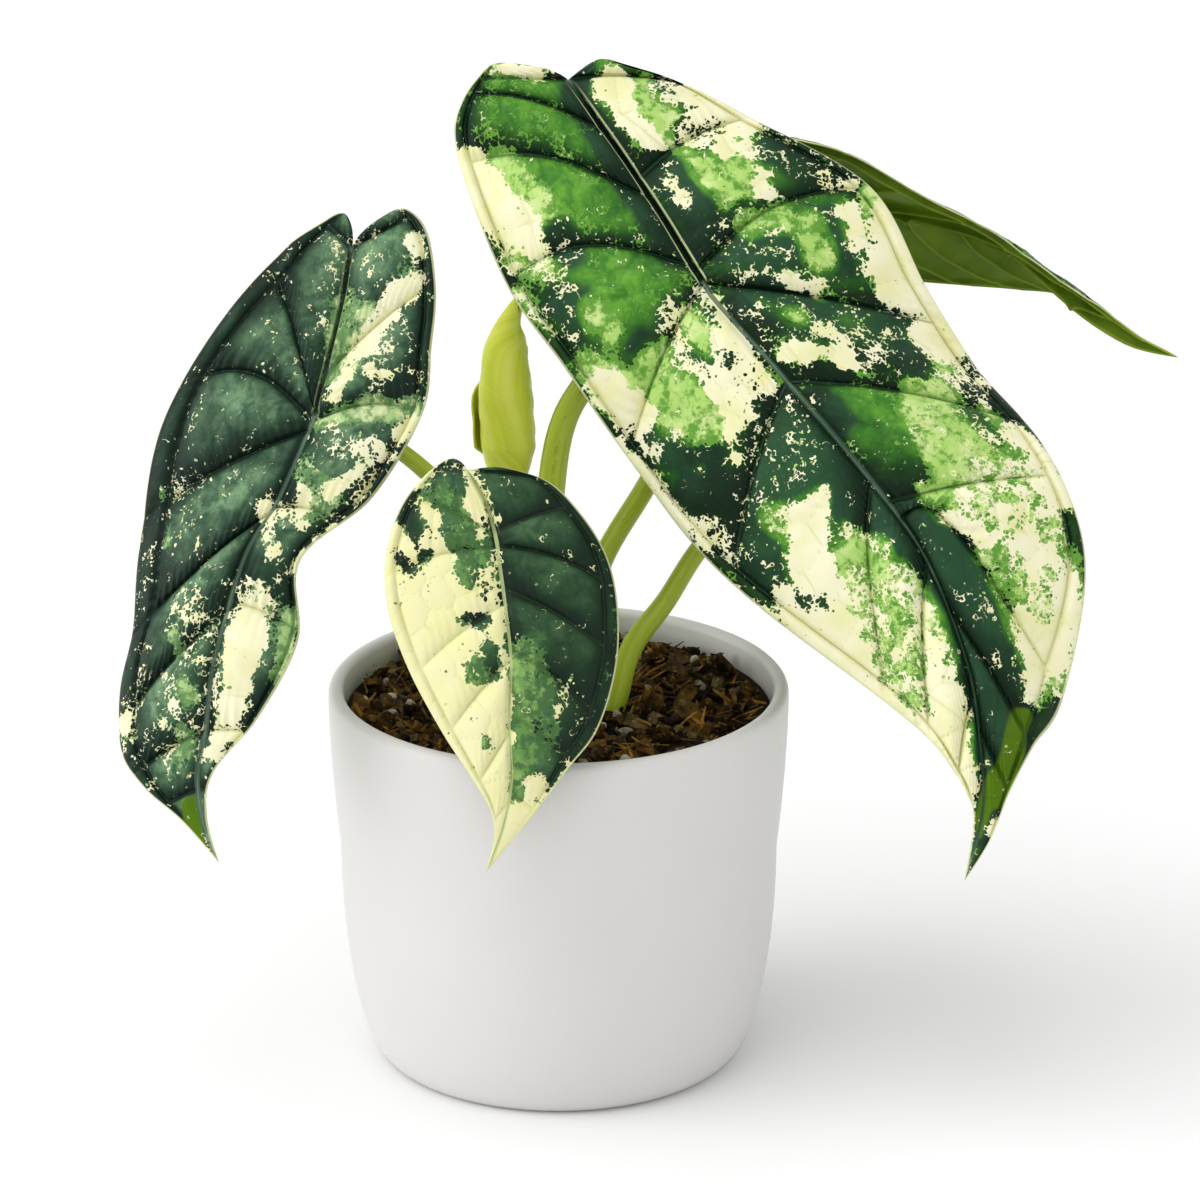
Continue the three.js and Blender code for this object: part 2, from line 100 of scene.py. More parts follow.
def welded(name, sheets, gap=0.00001):
    """Joins sheets into one closed piece that faces outwards."""
    select_only(*sheets)
    if len(sheets) > 1:
        bpy.ops.object.join()
    piece = bpy.context.object
    piece.name = piece.data.name = name
    bpy.ops.object.mode_set(mode="EDIT")
    bpy.ops.mesh.select_all(action="SELECT")
    bpy.ops.mesh.remove_doubles(threshold=gap)
    bpy.ops.mesh.dissolve_degenerate(threshold=1e-7)
    bpy.ops.mesh.normals_make_consistent(inside=False)
    bpy.ops.object.mode_set(mode="OBJECT")
    bpy.ops.object.shade_smooth()
    return piece


def turned_body(name, start, rings, corners, material):
    """A disc drawn out ring by ring along (radius, z), in mm, and closed with a face."""
    here, height = start
    bpy.ops.object.select_all(action="DESELECT")
    bpy.ops.mesh.primitive_circle_add(vertices=corners, radius=here * MM, fill_type="NGON",
                                      location=(0, 0, height * MM))
    piece = bpy.context.object
    bpy.ops.object.transform_apply(location=True)
    bpy.ops.object.mode_set(mode="EDIT")
    bpy.ops.mesh.select_all(action="SELECT")
    for radius, z in rings:
        bpy.ops.mesh.extrude_edges_move()
        bpy.ops.transform.resize(value=(radius / here, radius / here, 1))
        bpy.ops.transform.translate(value=(0, 0, (z - height) * MM))
        here, height = radius, z
    bpy.ops.mesh.edge_face_add()
    bpy.ops.mesh.select_all(action="SELECT")
    bpy.ops.mesh.normals_make_consistent(inside=False)
    bpy.ops.object.mode_set(mode="OBJECT")
    piece.name = piece.data.name = name
    piece.data.materials.append(material)
    return piece


def stands_for(piece, slot, *nodes):
    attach(piece, "root")
    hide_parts(*nodes)
    print(piece.name, "has", len(piece.data.polygons), "faces")


def fade(value, low, high):
    """0 at low, 1 at high, and smooth between them."""
    share = np.clip((value - low) / (high - low), 0, 1)
    return share * share * (3 - 2 * share)


def ripple(s, t, length, seed):
    """Soft uneven waves of about that length, from -1 to 1, the same on every run."""
    random = np.random.default_rng(seed)
    total = np.zeros(np.broadcast(s, t).shape)
    for turn, phase, pull in zip(random.uniform(0, np.pi, 7), random.uniform(0, 6.3, 7),
                                 random.uniform(0.7, 1.5, 7)):
        total += np.sin((s * np.cos(turn) + t * np.sin(turn)) * 2 * np.pi * pull / length + phase)
    return total / 4


# %% [markdown]
# Colour and relief come from nodes. These helpers keep a node tree readable: each adds one
# node and gives back the socket that leaves it.

# %% Helpers for materials
def add_node(tree, kind, inputs=(), **settings):
    node = tree.nodes.new(kind)
    for name, value in settings.items():
        setattr(node, name, value)
    for name, value in dict(inputs).items():
        if isinstance(value, bpy.types.NodeSocket):
            tree.links.new(value, node.inputs[name])
        else:
            node.inputs[name].default_value = value
    return node


def calc(tree, operation, *values, clamp=False):
    inputs = dict(enumerate(values))
    return add_node(tree, "ShaderNodeMath", inputs, operation=operation, use_clamp=clamp).outputs[0]


def times(tree, first, second, clamp=False):
    return calc(tree, "MULTIPLY", first, second, clamp=clamp)


def times_plus(tree, first, second, third, clamp=False):
    return calc(tree, "MULTIPLY_ADD", first, second, third, clamp=clamp)


def step(tree, value, low, high):
    """0 below low and 1 above high; low may be the greater one, which turns it round."""
    inputs = {"Value": value, "From Min": low, "From Max": high}
    return add_node(tree, "ShaderNodeMapRange", inputs, interpolation_type="SMOOTHSTEP").outputs[0]


def blend(tree, share, first, second):
    inputs = {0: share, 6: first, 7: second}
    return add_node(tree, "ShaderNodeMix", inputs, data_type="RGBA").outputs[2]


def tint(tree, base, shade, mask, strength):
    """Lays a shade over a base colour where the mask is 1, at that strength."""
    return blend(tree, times(tree, mask, strength), base, shade)


def noise(tree, vector, scale, detail=2.0, roughness=0.5, distortion=0.0):
    inputs = {"Vector": vector, "Scale": scale, "Detail": detail, "Roughness": roughness,
              "Distortion": distortion}
    return add_node(tree, "ShaderNodeTexNoise", inputs).outputs["Fac"]


def field(tree, name):
    """The three values of a field that was laid on the mesh."""
    vector = add_node(tree, "ShaderNodeAttribute", attribute_name=name).outputs["Vector"]
    return add_node(tree, "ShaderNodeSeparateXYZ", {0: vector}).outputs


def millimetres(tree):
    place = add_node(tree, "ShaderNodeTexCoord").outputs["Object"]
    inputs = {0: place, "Scale": 1000.0}
    return add_node(tree, "ShaderNodeVectorMath", inputs, operation="SCALE").outputs[0]


def colour(code):
    """A colour as a picture shows it, turned into the light that it stands for."""
    parts = [int(code[i:i + 2], 16) / 255 for i in (1, 3, 5)]
    return (*[x / 12.92 if x < 0.04045 else ((x + 0.055) / 1.055) ** 2.4 for x in parts], 1.0)


def new_group(name, inputs, outputs):
    """An empty shader node group with named sockets; returns it with both its ends."""
    group = bpy.data.node_groups.new(name, "ShaderNodeTree")
    for way, sockets in (("INPUT", inputs), ("OUTPUT", outputs)):
        for label, value in sockets.items():
            kind = "NodeSocketColor" if isinstance(value, tuple) else "NodeSocketFloat"
            socket = group.interface.new_socket(label, in_out=way, socket_type=kind)
            socket.default_value = value
    given = group.nodes.new("NodeGroupInput").outputs
    return group, given, group.nodes.new("NodeGroupOutput").inputs


def hand_out(group, result, **sockets):
    for label, socket in sockets.items():
        group.links.new(socket, result[label])
    print("group", group.name, "has", len(group.nodes), "nodes")


def new_material(name, group, inputs, bump, **shader):
    """A material whose Principled shader takes colour, roughness and relief from a group."""
    material = bpy.data.materials.new(name)
    material.use_nodes = True
    tree = material.node_tree
    principled = tree.nodes["Principled BSDF"]
    for label, value in shader.items():
        principled.inputs[label.replace("_", " ")].default_value = value
    made = add_node(tree, "ShaderNodeGroup", node_tree=group)
    for label, value in inputs.items():
        made.inputs[label].default_value = value
    relief = add_node(tree, "ShaderNodeBump", {"Strength": bump, "Distance": MM,
                                               "Height": made.outputs["Height"]})
    tree.links.new(made.outputs["Color"], principled.inputs["Base Color"])
    tree.links.new(made.outputs["Roughness"], principled.inputs["Roughness"])
    tree.links.new(relief.outputs[0], principled.inputs["Normal"])
    return material


# %% [markdown]
# The marbling of such a leaf is not a soft fade: green and cream cells lie in sectors with
# crisp, ragged edges, and small islands of one float in the other. So the brush strokes
# below only say how likely cream is at a place, and this group decides cell by cell: it
# reads a noise at the middle of each small Voronoi cell, adds it to the likelihood and cuts
# the sum sharply at one half. The sum also grows away from the middle of a cell, so green
# islands get scalloped edges. Flecks are the round middles of some smaller cells.

# %% Node group: crisp marbling
marbling, given, result = new_group(
    "crisp marbling",
    {"Cell": 1.0, "Ragged": 2.0},
    {"Cream": 0.0, "Light": 0.0, "Fleck": 0.0, "Lime": 0.0, "Cloud": 0.0},
)
cream, tone, fleck = field(marbling, "paint")
place = millimetres(marbling)
swirl = add_node(marbling, "ShaderNodeTexNoise", {"Vector": place, "Scale": 0.55, "Detail": 1.0})
shifted = add_node(marbling, "ShaderNodeVectorMath",
                   {0: swirl.outputs["Color"], 1: (1.6, 1.6, 1.6), 2: place},
                   operation="MULTIPLY_ADD").outputs[0]


def voronoi(scale):
    """Distance and place of each cell's middle, and chances drawn for the cell."""
    cells = add_node(marbling, "ShaderNodeTexVoronoi", {"Vector": shifted, "Scale": scale}).outputs
    chances = add_node(marbling, "ShaderNodeSeparateColor", {0: cells["Color"]}).outputs
    return cells["Distance"], cells["Position"], chances


cell_reach, cell_place, cell_chance = voronoi(given["Cell"])
scallop = calc(marbling, "SUBTRACT", cell_reach, 0.5)
SCALLOP_SHARE = 0.6


def cut(likelihood, scale, chance, spread, share):
    """Adds cell noise to a likelihood and cuts it at one half."""
    blotch = calc(marbling, "SUBTRACT", noise(marbling, cell_place, scale, 2.5, 0.55, 0.4), 0.5)
    push = times_plus(marbling, blotch, times(marbling, given["Ragged"], share), likelihood)
    push = times_plus(marbling, chance, spread, push)
    push = times_plus(marbling, scallop, SCALLOP_SHARE, push)
    return step(marbling, push, 0.46 + spread / 2, 0.54 + spread / 2)


cream_cut = cut(cream, 0.24, cell_chance[0], 0.18, 1.0)
light_cut = cut(tone, 0.17, cell_chance[1], 0.1, 0.6)

speck_reach, _, speck_chance = voronoi(1.2)
cluster = step(marbling, noise(marbling, place, 0.17, 2.0, 0.6), 0.45, 0.75)
density = times(marbling, times(marbling, fleck, cluster), 0.48)
room = calc(marbling, "SUBTRACT", density, speck_chance[0])
round_speck = step(marbling, speck_reach, 0.52, 0.44)
speck_cut = times(marbling, step(marbling, room, -0.01, 0.02), round_speck)
either = calc(marbling, "ABSOLUTE", calc(marbling, "SUBTRACT", cream_cut, speck_cut))
hand_out(marbling, result, Cream=either, Light=light_cut, Fleck=speck_cut, Lime=speck_chance[1],
         Cloud=noise(marbling, place, 0.09, 4.0, 0.6))

# %% [markdown]
# Veins steer the colour too. Green is near black in the creases beside a side vein and
# brightest on the crown of each puff: partly the leaf's own colour, partly painted shade in
# the creases and painted light on the crowns. The vein itself is a thin pale line, and the
# midrib a broad one. On cream the same veins show only as a faint yellow-green line.

# %% Node group: upper face of a leaf
# Deep is laid in the creases and Bright on the puff crowns: painted shade and painted light.
GREENS = {"Deep": "#0d2312", "Teal": "#264a30", "Green": "#367423", "Bright": "#74b03a",
          "Sage": "#639839", "Light": "#a9cf6c", "Pale": "#cde094", "Cream": "#efecc9",
          "Yellow": "#e4e3a8", "Lime": "#4f7008", "Rib": "#3d5a48", "Edge": "#d8dea6"}
face, given_face, result_face = new_group(
    "leaf face",
    {**{label: colour(code) for label, code in GREENS.items()},
     "Cell": 0.95, "Ragged": 2.4, "Gloss": 0.5, "Fold": 1.0, "Glow": 0.0,
     "Thread": 0.45, "Slim": 1.0},
    {"Color": colour("#30611f"), "Roughness": 0.4, "Height": 0.0},
)
rib, mid, edge = field(face, "veins")
# The net's middle value marks the puff crowns, which are painted lighter: painted light.
minor, crown, fused = field(face, "net")
_, tone, fleck = field(face, "paint")
marks = add_node(face, "ShaderNodeGroup", {}, node_tree=marbling)
face.links.new(given_face["Cell"], marks.inputs["Cell"])
face.links.new(given_face["Ragged"], marks.inputs["Ragged"])
marks = marks.outputs
place = millimetres(face)


cloud = step(face, marks["Cloud"], 0.3, 0.7)
# From Deep by the veins to full green on the puff crowns: partly the leaf's own colour, partly
# painted shade and painted light.
lift = times(face, crown, times_plus(face, cloud, 0.5, 0.6), clamp=True)
hue = blend(face, step(face, tone, 0.02, 0.28), given_face["Teal"], given_face["Green"])
dark_green = blend(face, step(face, lift, 0.1, 0.8), given_face["Deep"], hue)
crown_light = calc(face, "MAXIMUM", step(face, tone, 0.05, 0.4), given_face["Glow"])
# Bright streaks on the lit puff crowns: painted light.
streak = step(face, noise(face, place, 0.22, 4.0, 0.6, 0.6), 0.3, 0.72)
bright = times(face, step(face, lift, 0.3, 1.0), streak)
dark_green = tint(face, dark_green, given_face["Bright"], bright, crown_light)
# Beside each side vein the green is darkened further: painted shade in the crease.
crease_shade = step(face, rib, 1.0, 0.0)
dark_green = tint(face, dark_green, given_face["Deep"], crease_shade, 0.6)

pale_share = step(face, noise(face, place, 0.11, 3.0, 0.6), 0.42, 0.66)
light_green = blend(face, pale_share, given_face["Light"], given_face["Pale"])
stain = times_plus(face, tone, -0.32, noise(face, place, 0.3, 4.0, 0.7))
light_green = blend(face, step(face, stain, 0.14, 0.3), light_green, given_face["Sage"])
dots = step(face, noise(face, place, 1.2, 3.0, 0.7), 0.5, 0.58)
light_green = tint(face, light_green, given_face["Green"], dots, fleck)
# Light green gets a little painted shade in the creases.
light_green = tint(face, light_green, given_face["Sage"], crease_shade, 0.35)
green = blend(face, marks["Light"], dark_green, light_green)
green = blend(face, step(face, tone, -0.3, -0.8), green, given_face["Lime"])

cream_share = step(face, noise(face, place, 0.1, 3.0), 0.35, 0.75)
cream_wash = blend(face, cream_share, given_face["Cream"], given_face["Yellow"])
# Cream gets a little painted shade in the creases.
cream_wash = tint(face, cream_wash, colour("#cdd08a"), crease_shade, 0.35)
lime_fleck = step(face, marks["Lime"], 0.35, 0.6)
pale = tint(face, cream_wash, given_face["Light"], marks["Fleck"], lime_fleck)
shade = blend(face, marks["Cream"], green, pale)

# %% The same group: fine veins, side veins, the fold between the lobes, midrib and rim
def on_green_or_cream(dark, light):
    return blend(face, marks["Cream"], dark, light)


fine_vein = on_green_or_cream(given_face["Deep"], colour("#c4c987"))
shade = tint(face, shade, fine_vein, step(face, minor, 0.4, 0.1),
             times_plus(face, marks["Cream"], 0.25, 0.15))
side_vein = on_green_or_cream(given_face["Rib"], colour("#cfd492"))
shade = tint(face, shade, side_vein, step(face, rib, 0.35, 0.12), given_face["Thread"])
fused = times(face, fused, given_face["Fold"])
# The groove of the fold between the lobes is darkened: painted shade.
shade = tint(face, shade, given_face["Deep"], step(face, mid, 1.1, 0.5), fused)
off_line = calc(face, "ABSOLUTE", calc(face, "SUBTRACT", mid, 1.15))
lobe_line = times(face, step(face, off_line, 0.34, 0.14), fused)
shade = tint(face, shade, colour("#c3cf9a"), lobe_line, 0.8)
open_rib = calc(face, "SUBTRACT", 1.0, fused)
slim_mid = times(face, mid, given_face["Slim"])
midrib = times(face, step(face, slim_mid, 1.1, 0.75), open_rib)
shade = tint(face, shade, given_face["Rib"], midrib, 0.85)
midline = times(face, step(face, mid, 0.35, 0.12), open_rib)
shade = tint(face, shade, colour("#a9bb8c"), midline, 0.25)
shade = tint(face, shade, given_face["Edge"], step(face, edge, 0.55, 0.25), 0.75)

skin = noise(face, place, 2.2, 3.0, 0.6)
rough = times_plus(face, skin, 0.1, times_plus(face, marks["Cream"], 0.1, given_face["Gloss"]))
height = times_plus(face, step(face, minor, 0.6, 0.0), -0.16, times(face, skin, 0.03))
height = times_plus(face, step(face, rib, 0.35, 0.0), 0.1, height)
height = times_plus(face, noise(face, place, 0.7, 2.0), 0.08, height)
hand_out(face, result_face, Color=shade, Roughness=rough, Height=height)

# %% [markdown]
# The underside is duller and more olive, with its puff crowns painted lighter as painted
# light. Its veins stand proud and are paler than the tissue between them, and the marbling
# only glimmers through.

# %% Node group: underside of a leaf
under, given_under, result_under = new_group(
    "leaf underside",
    {"Olive": colour("#4d6420"), "Bright": colour("#7d9440"), "Vein": colour("#93a648"),
     "Pale": colour("#b9c07a"), "Marbled": 0.6, "Veined": 0.7},
    {"Color": colour("#4d6420"), "Roughness": 0.5, "Height": 0.0},
)
rib, mid, edge = field(under, "veins")
minor, crown, _ = field(under, "net")
cream = field(under, "paint")[0]
place = millimetres(under)
wash = step(under, noise(under, place, 0.05, 3.0, 0.6), 0.3, 0.7)
# The crowns are painted lighter, a painted light, mixed with a broad random wash.
crown_light_and_wash = times_plus(under, crown, 0.4, times(under, wash, 0.5), clamp=True)
shade = blend(under, crown_light_and_wash, given_under["Olive"], given_under["Bright"])
ghost = step(under, calc(under, "ADD", cream, noise(under, place, 0.25, 4.0, 0.65)), 0.9, 1.1)
shade = tint(under, shade, given_under["Pale"], ghost, given_under["Marbled"])
proud = calc(under, "MAXIMUM", step(under, rib, 0.6, 0.2), step(under, mid, 1.3, 0.7))
proud = calc(under, "MAXIMUM", proud, times(under, step(under, minor, 0.35, 0.1), 0.3))
shade = tint(under, shade, given_under["Vein"], proud, given_under["Veined"])
shade = tint(under, shade, given_under["Vein"], step(under, edge, 0.8, 0.3), 0.8)
skin = noise(under, place, 1.6, 3.0, 0.6)
height = times_plus(under, step(under, minor, 0.6, 0.0), 0.12, times(under, skin, 0.06))
hand_out(under, result_under, Color=shade, Roughness=times_plus(under, skin, 0.15, 0.38),
         Height=height)

# %% [markdown]
# Each open blade is measured in its own plane, in millimetres: s runs from the stalk's
# joint to the tip, t across it. A row of stations gives the midrib and both margins, and
# splines join them. The stations, like the joint and the tip, are those of the solids in the
# frame.

# %% The blades' measures
BLADES = {
    "large": dict(
        joint=(37.3, 0, 210.8), tip=(103, -64, 72.5), face=(0.02, -0.9, 0.42),
        arch=0.0013, droop=(0.0028, 0.0028), puff=3.0,
        stations=[
            [(-76, 26), (-66, 0)], [(-64, 10), (-70, 37), (-52, -17)],
            [(-29, 4), (-57, 44), (-36, -29)], [(-6, 1), (-21, 46), (-7, -50)],
            [(0, 0), (5, 41), (22, -53)], [(6, -1), (38, 34), (46, -57)],
            [(32, -9), (73, 24), (72, -63)], [(64, -18), (117, 0), (103, -61)],
            [(88, -23), (130, -6), (133, -42)], [(116, -22), (139, -8), (142, -29)],
            [(136, -17), (146, -9), (150, -19)], [(152, -11), (153, -8), (159, -10)],
        ],
        veins=[
            [(0, 0, 0), (1, 0.5, 0), (1.5, 0.9, 0.1), (2.1, 2.1, 0.14), (3.05, 3, 0.17),
             (4, 4.85, 0.06), (6, 6, 0.06), (7, 7, 0.13), (8, 8, 0.1), (9.3, 9.3, 0.05),
             (10.6, 10.6, 0), (12, 12, 0)],
            [(0, 0, 0), (1, 1, 0.05), (1.9, 2, 0.08), (3.2, 3, 0.12), (4.05, 4.5, 0.02),
             (6, 5.75, 0.04), (7.25, 6.3, 0.03), (7.5, 8, 0.38), (8.5, 9, 0.12), (9.8, 10, 0.05),
             (12, 12, 0)],
        ],
        strip=(0.93, 0.93)),
    "left": dict(
        joint=(-62.3, -18, 179.5), tip=(-86, -58, 75), face=(-0.24, -0.88, 0.4),
        arch=0.0022, droop=(0.0045, 0.0045), puff=2.5,
        stations=[
            [(-55, 8), (-59, -7)], [(-46, 3), (-45, 18), (-55, -15)],
            [(-31, 1), (-27, 29), (-40, -22)], [(-6, 0), (-3, 39), (-25, -25)],
            [(0, 0), (16, 43), (-8, -27)], [(20, 3), (41, 42), (16, -20)],
            [(36, 8), (60, 38), (35, -6)], [(62, 10), (77, 37), (55, -10)],
            [(82, 9), (92, 31), (76, -4)], [(94, 9), (100, 22), (92, 5)],
            [(104, 6), (106, 11), (103, 5)],
        ],
        veins=[
            [(0, 0, 0), (1, 0.5, 0), (3.55, 1.4, 0.05), (4, 3, 0.2), (4.15, 4.65, 0.03),
             (5.3, 6.2, 0.03), (6.6, 7.6, 0.05), (8, 8.6, 0.05), (9.3, 9.5, 0), (11, 11, 0)],
            [(0, 0, 0), (1, 0.6, 0), (2.7, 1.9, 0.05), (4, 4, 0.12), (5.2, 5.4, 0.1),
             (6.5, 6.9, 0.05), (8, 8.2, 0), (9.3, 9.4, 0), (11, 11, 0)],
        ],
        strip=(0.84, 0.9)),
    "front": dict(
        joint=(-15.3, -47, 158.2), tip=(-18, -72, 78), face=(-0.05, -0.9, 0.42),
        arch=0.0026, droop=(0.005, 0.005), puff=2.0,
        stations=[
            [(-20, 12), (-18, 0)], [(-17, 8), (-15, 19), (-15, -12)],
            [(-9, 3), (-6, 25), (-7, -21)], [(0, 0), (6, 28), (4, -28)],
            [(5, -1), (19, 27), (17, -31)], [(16, -3), (34, 21), (32, -31)],
            [(30, -5), (49, 12), (47, -27)], [(45, -5), (60, 4), (57, -20)],
            [(60, -6), (68, -1), (67, -13)], [(73, -4), (75, -2), (75, -7)],
        ],
        veins=[
            [(0, 0, 0), (1, 0.7, 0), (2.9, 1.7, 0.08), (3.5, 3.4, 0.08), (5, 5.1, 0.05),
             (6, 6.1, 0.05), (7.2, 7.2, 0), (8.4, 8.4, 0), (10, 10, 0)],
            [(0, 0, 0), (1, 0.8, 0), (2.8, 1.8, 0.05), (3.3, 3.6, 0.08), (4.7, 4.8, 0.06),
             (5.8, 5.8, 0.05), (6.9, 6.8, 0.04), (8.2, 8.1, 0), (10, 10, 0)],
        ],
        strip=(0.9, 0.88)),
    "back": dict(
        joint=(67.4, 56, 214.8), tip=(166.5, 78, 166.3), face=(0.3, 0.75, 0.59),
        arch=0.0026, droop=(0.0012, -0.003), puff=1.8,
        stations=[
            [(-34, 20), (-33, -22)], [(-14, 0), (-28, 32), (-20, -34)],
            [(-5, 0), (-18, 34), (0, -36)], [(0, 0), (-7, 33), (18, -33)],
            [(12, 3), (8, 29), (36, -28)], [(24, 5), (26, 23), (51, -27)],
            [(37, 8), (43, 18), (64, -25)], [(51, 7), (59, 10), (76, -21)],
            [(70, -1), (76, 2), (87, -16)], [(86, -6), (88, -3), (95, -12)],
            [(101, -7), (102, -5), (103, -9)],
        ],
        veins=[[(0, 0, 0), (1, 1.3, 0.05), (2, 2.9, 0.1), (3, 4.4, 0.12), (4, 5.8, 0.12),
                (5, 6.9, 0.12), (6, 7.8, 0.1), (7.2, 8.7, 0.05), (8.6, 9.5, 0), (11, 11, 0)]] * 2,
        strip=(0.9, 0.9)),
    "hidden": dict(
        joint=(74, 22, 162), tip=(112, 46, 89), face=(0.62, 0.66, 0.42),
        arch=0.0026, droop=(0.004, 0.004), puff=1.8,
        veins=[[(k, k, 0.05) for k in range(11)]] * 2,
        strip=(0.9, 0.9),
        stations=[[(-30, 11), (-30, -11)]] + [
            [(mid, 0), (s, t), (s, -t)] for mid, s, t in (
                (-18, -25, 21), (-8, -13, 28), (0, 4, 30), (8, 21, 29), (22, 37, 25),
                (38, 52, 19), (54, 65, 12), (70, 76, 6), (81, 83, 2))]),
}

# %% [markdown]
# Stations shape the outline; the side veins need not follow them. Each vein has a place on
# the midrib, a place on the margin, both counted in stations, and a bow. The strip's number
# says how far from midrib to margin the last vein runs along the blade.
#
# The marbling is brushed on, stroke by stroke, in the same millimetres: a kind of marking,
# where the stroke starts and ends, and the brush's radius. Later strokes cover earlier ones.

